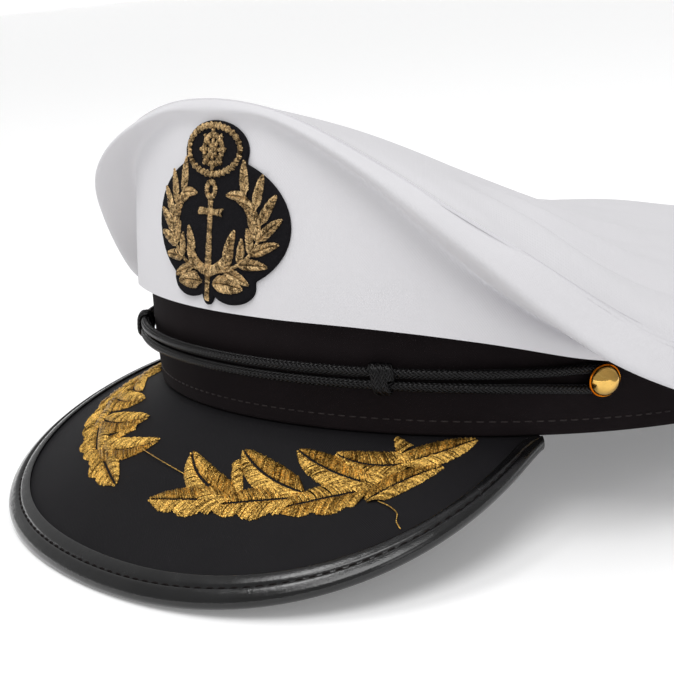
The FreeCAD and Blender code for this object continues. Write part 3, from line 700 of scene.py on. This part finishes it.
def band_stitches(depth, z, pitch, length, radius):
    """A row of stitches round the band."""
    count = int(pi * (BAND_HALF_LENGTH + BAND_HALF_WIDTH) / pitch)
    middle = (np.arange(count) + 0.5) * 2 * pi / count - pi + rng.normal(0, 0.0006, count)
    reach = length / (BAND_HALF_LENGTH + BAND_HALF_WIDTH)
    angle = middle[:, None] + np.linspace(-reach, reach, 5)
    lift = np.array([-0.22, 0.02, 0.08, 0.02, -0.22])
    centres = band_point(angle, depth - lift, z)
    first = outward(angle) * radius
    second = np.broadcast_to(UP * radius, centres.shape)
    return rods(centres, first, second, 6)


loft("band_cloth", band_cloth(), BLACK, closed=True, slot="black_cloth", stands_for=["band_cover"])
stitch_row = band_stitches(depth=0.12, z=TOPSTITCH_Z, pitch=2.9, length=2.1, radius=0.2)
quad_piece("band_topstitch", *stitch_row, BAND_STITCH_GLINT, slot="black_cloth")


# ---- visor
VISOR_ANGLES = np.radians(np.linspace(-56.5, 56.5, 227))
GROOVE_SHARE, GROOVE_DEEP = 0.60, 0.34      # the binding's stitched groove, across from its inner edge
BINDING_GAP = 0.05
BINDING_TOP = -BINDING_GAP - BINDING_THICK
STITCH_PITCH = 3.1


def visor_fabric():
    angle = VISOR_ANGLES[:, None]
    rim = visor_rim(angle) - 0.2
    share = np.linspace(0, 1, 46) ** 0.9
    distance = np.concatenate([np.full_like(rim, -VISOR_ROOT), rim * share], 1)
    lower = visor_point(angle, distance[:, ::-1], VISOR_CLOTH)
    return np.concatenate([visor_point(angle, distance, 0.0), lower], 1)


def binding_width(rim):
    """The binding narrows to nothing with the visor, at its two ends."""
    return (BINDING_WIDTH ** -4 + np.maximum(rim - 0.6, 0.5) ** -4) ** -0.25


def binding_section():
    """The rolled edge's section: padded strip, stitched groove, rolled nose, and back under."""
    angle = VISOR_ANGLES[:, None]
    rim = visor_rim(angle)
    width = binding_width(rim)
    below = VISOR_BOTTOM + BINDING_GAP + BINDING_THICK
    middle, half = (BINDING_TOP + below) / 2, (below - BINDING_TOP) / 2
    share = np.concatenate([[0.0, 0.004, 0.02, 0.05], np.linspace(0.09, 0.9, 28)])
    edge = np.array([0.42, 0.2, 0.07, 0.01] + [0.0] * 28)
    inner_pad = 0.18 * np.sin(pi * np.clip(share / GROOVE_SHARE, 0, 1))
    outer_pad = 0.22 * np.sin(pi * np.clip((share - GROOVE_SHARE) / (1 - GROOVE_SHARE), 0, 1))
    groove = GROOVE_DEEP * hill((share - GROOVE_SHARE) * BINDING_WIDTH, 0, 0.42)
    fade = np.clip(width / BINDING_WIDTH, 0, 1)
    turn = np.linspace(-1.25, 1.25, 15)
    inside = np.linspace(0.01, 1.0, 6)
    runs = [
        (rim - width * (1 - share), BINDING_TOP + edge - (inner_pad + outer_pad - groove) * fade),
        (rim + BINDING_NOSE * np.cos(turn), middle + half * np.sin(turn)),
        (rim - width * (1 - share[::-1]), below - edge[::-1]),
        (rim - width * (1 - inside), below - BINDING_THICK),
        (rim - width * (1 - inside[::-1]), -BINDING_GAP),
    ]
    distance = np.concatenate([far for far, _ in runs], 1)
    depth = np.concatenate([np.broadcast_to(deep, far.shape) for far, deep in runs], 1)
    return visor_point(angle, distance, depth)


def binding_stitches():
    """Thread lying in the binding's groove."""
    angle = np.radians(np.linspace(-54, 54, 3001))
    rim = visor_rim(angle)
    line = visor_point(angle, rim - binding_width(rim) * (1 - GROOVE_SHARE), BINDING_TOP + GROOVE_DEEP)
    count = int(distances(line)[-1] / STITCH_PITCH)
    at = (np.arange(count)[:, None] + np.linspace(0.12, 0.88, 5)) * STITCH_PITCH
    rise = np.array([-0.25, 0.1, 0.2, 0.1, -0.25])
    return laid_threads(points_along(line, at) + UP * rise[:, None], UP, 0.2, 0.2, 6)


loft("visor_fabric_top", visor_fabric(), VISOR, slot="visor_cloth", stands_for=["visor_top_cover"])
loft("visor_binding", binding_section(), BINDING, slot="binding_leather", stands_for=["visor_edge_binding"])
quad_piece("visor_binding_stitches", *binding_stitches(), STITCH, slot="binding_leather")


# ---- embroidery
def visor_chart(place, height):
    """Place is (degrees round, mm from the band); height is above the fabric."""
    return visor_point(np.radians(place[..., 0]), place[..., 1], -height)


def badge_chart(place, height):
    """Place is (x, z) on the front wall; height is above the cloth."""
    x, z = place[..., 0] + BADGE_OFFSET, place[..., 1]
    angle = np.arcsin(x / BAND_HALF_WIDTH)
    for _ in range(3):                        # closer each time, as the wall leans
        angle = np.arcsin(x / (BAND_HALF_WIDTH + wall_out(angle, z) + height))
    return oval(angle, wall_out(angle, z) + height, z)


def chart_scale(chart, place):
    """Millimetres for one unit of each chart coordinate, near a place."""
    place = np.asarray(place, float)
    here = chart(place, 0.0)
    return np.array([
        np.linalg.norm(chart(place + step, 0.0) - here) / np.linalg.norm(step)
        for step in (np.array([0.5, 0.0]), np.array([0.0, 0.5]))
    ])


BADGE_OFFSET = 3.5            # the badge sits this far to the wearer's left
STITCH_STEPS = np.array([0.0, 0.1, 0.32, 0.62, 0.88, 1.0])
STITCH_BASE = 0.05            # a stitch's ends lie this far above the cloth
LEAF_FULLEST = 0.42           # share of a leaf's length at its widest


def stitches(chart, start, end, pad, radius):
    """Threads laid from start to end over padding, as rods with a tone for each."""
    u = STITCH_STEPS[:, None]
    place = start[:, None] + (end - start)[:, None] * u
    rise = np.sin(pi * STITCH_STEPS ** 0.85) ** 0.55
    rise[[0, -1]] = 0
    height = STITCH_BASE + np.asarray(pad)[:, None] * rise * (1 + rng.normal(0, 0.2, (len(start), 1)))
    centres = chart(place, height)
    above = unit(chart(place, height + 0.2) - centres)
    tone = np.clip(rng.normal(0.58, 0.34, len(start)), 0, 1)
    sides = 4
    return (*laid_threads(centres, above, radius * 1.12, radius, sides), np.repeat(tone, len(u) * sides))


def leaf(chart, foot, tip, half_width, bend=0.0, scallop=0.0, spacing=0.54, radius=0.26, pad=0.6,
         gap=0.95, slant=0.16):
    """A satin-stitched leaf: threads slant from a dark midrib out to both edges."""
    foot, tip = np.asarray(foot, float), np.asarray(tip, float)
    scale = chart_scale(chart, (foot + tip) / 2)
    span = (tip - foot) * scale
    length = hypot(*span)
    ahead = span / length
    across = np.array([-ahead[1], ahead[0]])
    count = max(int(length / spacing), 4)

    def rib(s):
        return s[:, None] * length * ahead + (bend * 4 * s * (1 - s))[:, None] * across

    def half(s, side):
        power = np.log(0.5) / np.log(LEAF_FULLEST)
        shape = np.sin(pi * np.clip(s, 0, 1) ** power) ** 0.62
        lobes = 1 - scallop * (1 - np.abs(np.sin(3 * pi * s + 0.4)) ** 0.7)
        return half_width * shape * (lobes * (1 + 0.7 * scallop) if side < 0 else 1 - 0.3 * scallop)

    parts = []
    for side in (1, -1):
        s = np.clip((np.arange(count) + 0.5 + rng.normal(0, 0.12, count)) / count, 0.01, 0.99)
        end_s = np.minimum(s + slant * (1 - s) + 0.02, 1.0)
        width = half(end_s, side) * (1 + rng.normal(0, 0.03, count)) + 0.1
        start = rib(s) + side * across * gap / 2 * np.minimum(1, half(s, side)[:, None] / 1.2 + 0.3)
        end = rib(end_s) + side * across * np.maximum(width, gap * 0.6)[:, None]
        thick = pad * np.clip(width / (0.45 * half_width + 0.4), 0.35, 1)
        parts.append(stitches(chart, foot + start / scale, foot + end / scale, thick, radius))
    return parts


def satin_line(chart, line, half_width, spacing=0.54, radius=0.26, pad=0.45):
    """A stem or bar: threads laid square across a line of chart places."""
    line = np.asarray(line, float)
    scale = chart_scale(chart, line[len(line) // 2])
    flat = line * scale
    length = distances(flat)[-1]
    count = max(int(length / spacing), 3)
    at = (np.arange(count) + 0.5) / count
    middle = points_along(flat, at * length)
    heading = unit(np.gradient(middle, axis=0))
    across = np.stack([-heading[:, 1], heading[:, 0]], -1)
    width = np.interp(at, np.linspace(0, 1, np.size(half_width)), np.ravel(half_width))
    width = (width * (1 + rng.normal(0, 0.05, count)))[:, None]
    half = across * width + heading * width * 0.25
    return stitches(chart, (middle - half) / scale, (middle + half) / scale, np.full(count, pad), radius)


def loose_thread(line, height):
    """A loose thread along places on the visor, with its heights."""
    centres = smoothed(resampled(visor_chart(np.asarray(line), np.asarray(height)), 24), 0.5, 6, 0)
    return (*laid_threads(centres[None], UP + 0.01, 0.13, 0.13, 6), 0.8)


SPRAY_SHIFT = np.array([1.0, 0.0])    # both sprays sit a degree further from the visor's middle
# Foot, tip, half width, bend and scallop of the wearer's left spray, mirrored for the right; places
# are (degrees round, mm from the band)
SPRAY_LEAVES = [
    ((14.6, 25.6), (3.0, 31.0), 4.3, 0.3, 0.32),
    ((23.6, 22.4), (12.0, 28.4), 4.6, 0.3, 0.36),
    ((32.4, 18.4), (21.2, 26.8), 4.4, 0.5, 0.30),
    ((15.4, 25.2), (3.4, 14.6), 4.3, -2.0, 0.0),
    ((24.0, 20.8), (12.0, 10.4), 4.3, -1.2, 0.0),
    ((32.4, 16.8), (20.6, 7.8), 4.4, -0.9, 0.0),
    ((37.6, 9.0), (26.4, 7.8), 4.4, -2.2, 0.0),
    ((34.8, 10.4), (45.9, 0.9), 3.7, 0.3, 0.0),
    ((32.0, 22.4), (41.0, 10.8), 3.1, -1.2, 0.0),
]
SPRAY_STEMS = [
    ([(12.1, 14.2), (13.6, 18.4), (15.2, 23.2)], [1.2, 1.5, 1.2]),
    ([(34.4, 1.2), (35.2, 3.4), (36.0, 5.4)], [0.5, 1.7, 2.6]),
    ([(30.4, 19.6), (32.2, 16.4), (33.6, 12.6)], [1.2, 2.2, 1.6]),
]
LOOSE_THREADS = [
    ([(-7.4, 19.0), (-0.5, 20.4), (6.4, 21.6)], [0.5, 1.3, 0.5]),
    ([(34.6, 22.6), (36.0, 24.4), (37.2, 26.6), (36.9, 29.0), (37.6, 31.2)], [0.4, 0.8, 0.5, 0.6, 0.3]),
]


def spray(side):
    parts = []

    def chart(place, height):
        return visor_chart((np.asarray(place) + SPRAY_SHIFT) * np.array([side, 1.0]), height)

    for shape in SPRAY_LEAVES:
        parts += leaf(chart, *shape)
    for line, half_widths in SPRAY_STEMS:
        parts.append(satin_line(chart, line, half_widths))
    return parts


for name, side in SIDES:
    parts = spray(side)
    if name == "left":
        parts += [loose_thread(*one) for one in LOOSE_THREADS]
    thread_piece("spray_stitching_" + name, parts, GOLD_THREAD, slot="spray_thread",
                 stands_for=["visor_spray_" + name])


# ---- badge
PATCH_GAP, PATCH_THICK = 0.1, 1.0
BADGE_HEIGHT = PATCH_GAP + PATCH_THICK
PATCH_MIDDLE, ANCHOR_MIDDLE, WHEEL_MIDDLE = 49.0, 47.6, 67.8
WREATH_MIDDLE, WREATH_HALF_WIDTH, WREATH_HALF_HEIGHT = 48.4, 17.6, 11.4
# The ovals that the patch is cut round: middle x and z, half width, half height
PATCH_OVALS = [
    (0, 49.2, 26.2, 17.2), (0, 67.5, 12.4, 7.6), (-8.0, 34.2, 7.6, 4.4), (8.4, 34.0, 8.0, 4.8),
    (0, 31.6, 2.2, 3.2),
]
BADGE_STITCH = {"spacing": 0.44, "radius": 0.215}


def patch_reach(turn):
    """How far the patch reaches from its middle in one direction."""
    far = 0.0
    for x, z, half_width, half_height in PATCH_OVALS:
        dx, dz = cos(turn) / half_width, sin(turn) / half_height
        ox, oz = -x / half_width, (PATCH_MIDDLE - z) / half_height
        a, b, c = dx * dx + dz * dz, 2 * (ox * dx + oz * dz), ox * ox + oz * oz - 1
        root = b * b - 4 * a * c
        if root > 0:
            far = max(far, (-b + root ** 0.5) / (2 * a))
    return far


def badge_patch():
    """Rings of points over the felt, rounded at its edge, with a little fuzz."""
    turns = np.arange(0, 2 * pi, 2 * pi / 480)
    reach = np.array([patch_reach(t) for t in turns])
    reach = smoothed(np.concatenate([reach[-9:], reach, reach[:9]]), 0.5, 3, 0)[9:-9]
    shares = np.concatenate([np.linspace(0.01, 0.95, 30), [0.975, 0.99, 1.0, 1.0, 0.97]])
    edge = [BADGE_HEIGHT - drop for drop in (0.04, 0.18, 0.45)] + [PATCH_GAP + 0.1, PATCH_GAP]
    height = np.concatenate([np.full(30, BADGE_HEIGHT), edge])
    flat = shares[:, None, None] * (reach[:, None] * np.stack([np.cos(turns), np.sin(turns)], -1))
    rings = badge_chart(flat + np.array([0, PATCH_MIDDLE]), height[:, None])
    fuzz = 0.05 * ripple(rings, 1.7, 8)
    rings[:33, :, 1] -= fuzz[:33]
    return rings


points, faces, _ = disc(badge_patch())
cap_piece("badge_felt_patch", points, faces, FELT, slot="badge_felt", stands_for=["badge_patch"], sharp=180)


def raised_badge(place, height):
    return badge_chart(place, height + BADGE_HEIGHT)


def badge_leaf(x, z, heading, length, half_width, bend=0.0):
    tip = (x + length * cos(heading), z + length * sin(heading))
    return leaf(raised_badge, (x, z), tip, half_width, bend, pad=0.42, gap=0.34, slant=0.2, **BADGE_STITCH)


def badge_line(line, half_width, pad=0.45):
    return satin_line(raised_badge, line, half_width, pad=pad, **BADGE_STITCH)


def ellipse_line(x, z, half_width, half_height, start=0, end=360, count=60):
    turn = np.radians(np.linspace(start, end, count))
    return np.stack([x + half_width * np.cos(turn), z + half_height * np.sin(turn)], -1)


def wreath(side):
    """A laurel branch with leaves in pairs, and a larger leaf at its foot."""
    width, height = side * WREATH_HALF_WIDTH, WREATH_HALF_HEIGHT
    parts = []
    for turn in np.radians(np.linspace(-70, 44, 7)):
        x, z = width * cos(turn), WREATH_MIDDLE + height * sin(turn)
        heading = pi / 2 + side * turn
        parts += badge_leaf(x, z, heading - side * 0.66, 9.2, 1.2, side * 0.3)
        parts += badge_leaf(x, z, heading + side * 0.76, 6.6, 1.0, -side * 0.3)
    parts.append(badge_line(ellipse_line(0, WREATH_MIDDLE, width, height, -84, 44, 40), 0.32, 0.3))
    parts += badge_leaf(side * 2.2, 34.2, side * -0.06 + (pi if side < 0 else 0), 10.6, 2.1, side * 0.4)
    return parts


def anchor():
    """Ring, shank, stock, arms and foot, with a leaf for each fluke."""
    z = ANCHOR_MIDDLE
    parts = [
        badge_line(ellipse_line(0, z + 10.2, 1.7, 1.9), 0.6, 0.5),
        badge_line([(0, z - 10.4), (0, z + 8.4)], [1.2, 0.8, 0.8], 0.5),
        badge_line([(-4.9, z + 4.6), (4.9, z + 4.6)], [0.95, 0.65, 0.65, 0.65, 0.95], 0.5),
        badge_line(ellipse_line(0, z - 1.4, 7.9, 9.0, 204, 336), [0.5, 1.1, 1.3, 1.1, 0.5], 0.5),
        badge_line([(0, z - 18.0), (0, z - 11.2)], [0.9, 0.7, 0.9], 0.4),
    ]
    for side in (1, -1):
        parts += badge_leaf(side * 6.4, z - 7.0, pi / 2 - side * 0.38, 8.0, 1.25)
    return parts


def wheel():
    """A ship's wheel of eight spokes, in an oval of rope."""
    z = WHEEL_MIDDLE
    parts = [
        badge_line(ellipse_line(0, z, 3.7, 3.7), 0.6),
        badge_line(ellipse_line(0, z, 0.7, 0.7, count=20), 0.6, 0.6),
    ]
    for a in np.arange(8) * pi / 4:
        spoke = [(reach * cos(a), z + reach * sin(a)) for reach in (1.2, 5.2)]
        parts.append(badge_line(spoke, [0.4, 0.36, 0.36, 0.6, 0.3], 0.42))
    strand = 0.62 + 0.2 * np.sin(np.linspace(0, 60 * pi, 400))
    parts.append(badge_line(ellipse_line(0, z, 10.2, 6.1, count=160), strand, 0.55))
    return parts


for name, side in SIDES:
    thread_piece("wreath_stitching_" + name, wreath(side), BADGE_THREAD, slot="badge_thread",
                 stands_for=["badge_wreath_" + name])
for name, parts in (("anchor", anchor()), ("wheel", wheel())):
    thread_piece(name + "_stitching", parts, BADGE_THREAD, slot="badge_thread", stands_for=["badge_" + name])


# ---- chin cord
STRAND_PULL = 18.0            # how strongly the cord keeps its heading where it leaves strand or button


def strand_points(up):
    """One strand across the front, and its outward side; the two spread a little at their ends."""
    place = np.linspace(STRAND_END, -STRAND_END, 41)
    angle = np.radians(place)
    far = (np.abs(place) / STRAND_END) ** 6
    z = CORD_HEIGHT + up * (1 + 0.25 * far) * CORD_SPACING / 2
    return oval(angle, CORD_OUT - 0.9 * far, z), outward(angle)


def loop_points(side, turns):
    """The cord's way round behind one button."""
    axis = button_axis(side)
    level = unit(np.cross(UP, axis)) * side
    rise = np.cross(axis, level) * side
    centre = button_centre(side) + axis * CORD_STANDOFF
    turns = np.asarray(turns)[:, None]
    ring = rise * (LOOP_RADIUS * np.cos(turns)) + level * (LOOP_RADIUS * np.sin(turns))
    return centre + ring, np.broadcast_to(axis, (len(turns), 3))


def bridge(before, after, start_pull, end_pull, count=5):
    """A smooth run from the end of one stretch to the start of the next."""
    s = np.linspace(0, 1, count + 2)[1:-1, None]
    point = before[0][-1] * ((1 + 2 * s) * (1 - s) ** 2) + after[0][0] * (s * s * (3 - 2 * s))
    point = point + start_pull * (s * (1 - s) ** 2) - end_pull * (s * s * (1 - s))
    return point, before[1][-1] * (1 - s) + after[1][0] * s


def cord_route():
    """The closed loop: from behind the left button, across, round the right one, and back."""
    front, back = radians(STRAND_END), radians(BUTTON_ANGLE)
    stretches = [
        loop_points(1, np.linspace(pi / 2 - 0.02, 0, 6)),
        strand_points(1),
        loop_points(-1, np.linspace(0, pi, 11)),
        [a[::-1] for a in strand_points(-1)],
        loop_points(1, np.linspace(pi, pi / 2 + 0.02, 6)),
    ]
    bends = [(back, front, -1), (-front, -back, -1), (-back, -front, 1), (front, back, 1)]
    route = [stretches[0]]
    for before, after, (start, end, way) in zip(stretches, stretches[1:], bends):
        pull = way * STRAND_PULL
        route += [bridge(before, after, along(start) * pull, along(end) * pull), after]
    return [np.concatenate(part) for part in zip(*route)]


def dense(points, aux, step):
    """The same smooth route at an even small step."""
    far = distances(points)
    at = np.linspace(0, far[-1], int(far[-1] / step) + 1)
    both = np.concatenate([points, aux], 1)
    done = np.empty((len(at), 6))
    for k, place in enumerate(at):
        done[k] = eased(far, both, place)
    return at, done[:, :3], unit(done[:, 3:])


BRAID_PITCH, BRAID_REACH = 10.0, 1.39      # of a braid with strands 0.35 by 0.17
CARRIERS = 8                               # in each direction


def braid(points, aux, flatten=1.0, step=0.36):
    """A round braid, over two and under two, about a route; aux is the route's outward side."""
    at, line, out = dense(points, aux, step)
    heading = unit(np.gradient(line, axis=0))
    first = unit(out - heading * np.sum(out * heading, -1, keepdims=True))
    second = np.cross(heading, first)
    ratio = CORD_RADIUS / BRAID_REACH
    pitch = BRAID_PITCH * ratio
    parts = []
    for way in (1, -1):
        for k in range(CARRIERS):
            turn = way * 2 * pi * at / pitch + 2 * pi * k / CARRIERS
            wave = way * np.cos(pi / 2 * (2 * k + way * 16 * at / pitch - 0.5))
            r = ratio * (1.08 + 0.15 * wave)
            ray = first * (np.cos(turn) * flatten)[:, None] + second * np.sin(turn)[:, None]
            centre = line + ray * r[:, None]
            ahead = unit(np.gradient(centre, axis=0))
            face = unit(ray - ahead * np.sum(ray * ahead, -1, keepdims=True))
            wide = np.cross(ahead, face)
            strand = rods(centre[None], (face * 0.17 * ratio)[None], (wide * 0.35 * ratio)[None], 6)
            parts.append((*strand, 0.4 + 0.6 * rng.random()))
    across, deep = second * 0.95 * ratio, first * 0.95 * ratio * flatten
    core = rods(line[None, ::3], deep[None, ::3], across[None, ::3], 10)
    return parts + [(*core, 0.0)]


thread_piece("chin_cord_braid", braid(*cord_route()), CORD, slot="cord_braid", stands_for=["chin_cord"],
             sharp=80)


def knot_route(side):
    """A flattened turn and a half of cord round both strands, with a short tail."""
    turns = np.linspace(0, 2.3 * 2 * pi, 60)
    grow = CORD_RADIUS + 0.45
    half = CORD_SPACING / 2
    out = grow * np.cos(turns)
    up = grow * np.sin(turns) + half * np.tanh(3 * np.sin(turns))
    slide = np.linspace(-1.9, 1.9, 60) + 0.5 * np.sin(turns)
    middle = side * radians(KNOT_ANGLE)
    centre, ahead = oval(middle, CORD_OUT, CORD_HEIGHT), outward(middle)
    points = centre + ahead * out[:, None] + UP * up[:, None] - along(middle) * (side * slide)[:, None]
    return points, ahead * np.cos(turns)[:, None] + UP * np.sin(turns)[:, None]


for name, side in SIDES:
    knot = braid(*knot_route(side), flatten=0.5, step=0.3)
    thread_piece("knot_braid_" + name, knot, CORD, body="knot_" + name, slot="cord_braid",
                 stands_for=["cord_knot_" + name], sharp=80)


# ---- buttons
def dome(side):
    """A polished dome with a narrow rolled rim, as a lathe section of (radius, height)."""
    ball = (DOME_RADIUS ** 2 + DOME_HEIGHT ** 2) / (2 * DOME_HEIGHT)
    reach = np.arcsin(DOME_RADIUS / ball)
    sweep = np.linspace(0.012, reach * 0.985, 34)
    outer = [(ball * sin(a), BUTTON_BASE + DOME_HEIGHT - ball * (1 - cos(a))) for a in sweep]
    rim = [(DOME_RADIUS + 0.16, BUTTON_BASE + 0.34), (DOME_RADIUS + 0.22, BUTTON_BASE + 0.18),
           (DOME_RADIUS + 0.12, BUTTON_BASE + 0.02), (DOME_RADIUS - 0.2, BUTTON_BASE)]
    under = ball - DOME_WALL
    inner = [(under * sin(a), BUTTON_BASE + DOME_HEIGHT - ball + under * cos(a)) for a in sweep[-3::-1]]
    section = np.array(outer + rim + inner)
    axis = button_axis(side)
    level = unit(np.cross(UP, axis))
    rise = np.cross(axis, level)
    turn = np.radians(np.arange(0, 360, 4))[:, None]
    ray = level * np.cos(turn)[..., None] + rise * np.sin(turn)[..., None]
    return button_centre(side) + ray * section[:, 0, None] + axis * section[:, 1, None]


for name, side in SIDES:
    loft("dome_" + name, dome(side), GOLD, closed=True, body="button_" + name, slot="button_gold",
         stands_for=["button_dome_" + name], sharp=40)


# ---- what stays as the CAD made it
CARRIED = {
    "crown_seam_allowance": WHITE, "crown_front_stiffener": FOAM, "lining_side": LINING, "lining_tip": LINING,
    "band_stiffener": BOARD, "sweatband": SWEAT, "visor_board": PEAK, "visor_under_cover": UNDER,
    "button_shank_left": BACK_PLATE, "button_shank_right": BACK_PLATE,
    "button_washer_left": STEEL, "button_washer_right": STEEL,
}
for name, look in CARRIED.items():
    node = frame["nodes"][name]
    node.data.materials.clear()
    node.data.materials.append(look)


# ---- studio, in metres
STAGE_CORNERS = [(-30, -30), (30, -30), (30, 30), (-30, 30)]
BACKDROP_HEIGHT = 2
FLOOR_DROP = 0.0003           # below the cap, so that the two never share a plane
WORLD_LIGHT, WORLD_LESS_IN_GLOSS = 0.50, 0.10
CAMERA_PLACE = (0.2754, -0.283145, 0.136729)
CAMERA_TURN = (74.5884, 5.4286, 48.3600)
CAMERA_LENS = 70.34


def white_look(name, white, roughness, glow, **settings):
    glow = {"Emission_Color": (1, 1, 1, 1), "Emission_Strength": glow}
    return Look(name, (white,) * 3, roughness, **glow, **settings)


def stage_piece(name, points, faces, look, drop=0.0):
    mesh = bpy.data.meshes.new(name)
    mesh.from_pydata(points, [], faces)
    mesh.materials.append(look.material)
    made = scene_object(name, mesh)
    made.location.z = -drop


def studio_floor():
    look = white_look("studio_floor", 0.96, 0.6, 0.16, Specular_IOR_Level=0.1)
    look.tint(look.mixed(look.noise(90.0), (0.91, 0.91, 0.915), (0.93, 0.93, 0.93)))
    stage_piece("floor", [(x, y, 0) for x, y in STAGE_CORNERS], [(0, 1, 2, 3)], look, FLOOR_DROP)


def studio_backdrop():
    """A low white wall all round, past the floor's edge, so that no horizon shows."""
    look = white_look("studio_backdrop", 0.95, 0.8, 1.05)
    look.bump(look.noise(90.0), 0.1)
    points = [(x, y, z) for z in (0, BACKDROP_HEIGHT) for x, y in STAGE_CORNERS]
    stage_piece("backdrop", points, [(k, (k + 1) % 4, (k + 1) % 4 + 4, k + 4) for k in range(4)], look)


def softbox(name, location, target, size, power):
    data = bpy.data.lights.new(name, "AREA")
    data.shape = "RECTANGLE"
    data.size, data.size_y = size
    data.energy = power
    made = scene_object(name, data)
    made.location = location
    made.rotation_euler = (Vector(target) - Vector(location)).to_track_quat("-Z", "Y").to_euler()


def wide_overhead(direction, strength, spread):
    """One very large soft source, so that the floor is evenly white."""
    data = bpy.data.lights.new("wide_overhead", "SUN")
    data.energy, data.angle = strength, radians(spread)
    scene_object("wide_overhead", data).rotation_euler = Vector(direction).to_track_quat("Z", "Y").to_euler()


def studio_world():
    """White all round, but dimmer in reflections, so that black gloss stays black between the softboxes."""
    world = bpy.data.worlds.new("studio")
    world.use_nodes = True
    tree = world.node_tree
    background = tree.nodes["Background"]
    background.inputs["Color"].default_value = (1, 1, 1, 1)
    ray = tree.nodes.new("ShaderNodeLightPath")
    strength = tree.nodes.new("ShaderNodeMath")
    strength.operation = "MULTIPLY_ADD"
    strength.inputs[1].default_value = -WORLD_LESS_IN_GLOSS
    strength.inputs[2].default_value = WORLD_LIGHT
    tree.links.new(ray.outputs["Is Glossy Ray"], strength.inputs[0])
    tree.links.new(strength.outputs[0], background.inputs["Strength"])
    scene.world = world


def studio_camera():
    lens = bpy.data.cameras.new("camera")
    lens.lens, lens.sensor_width = CAMERA_LENS, 36.0
    lens.clip_start, lens.clip_end = 0.01, 100
    scene.camera = scene_object("camera", lens)
    scene.camera.location = CAMERA_PLACE
    scene.camera.rotation_euler = [radians(turn) for turn in CAMERA_TURN]


studio_floor()
studio_backdrop()
wide_overhead((0.22, -0.31, 0.93), 1.28, 34)
softbox("overhead", (-0.34, -0.32, 1.22), (0.03, -0.12, 0.0), (0.5, 0.26), 3.4)
softbox("right", (1.1, -0.35, 0.6), (0.0, -0.05, 0.04), (0.4, 0.5), 0.9)
studio_world()
studio_camera()
scene.view_settings.view_transform = "Standard"
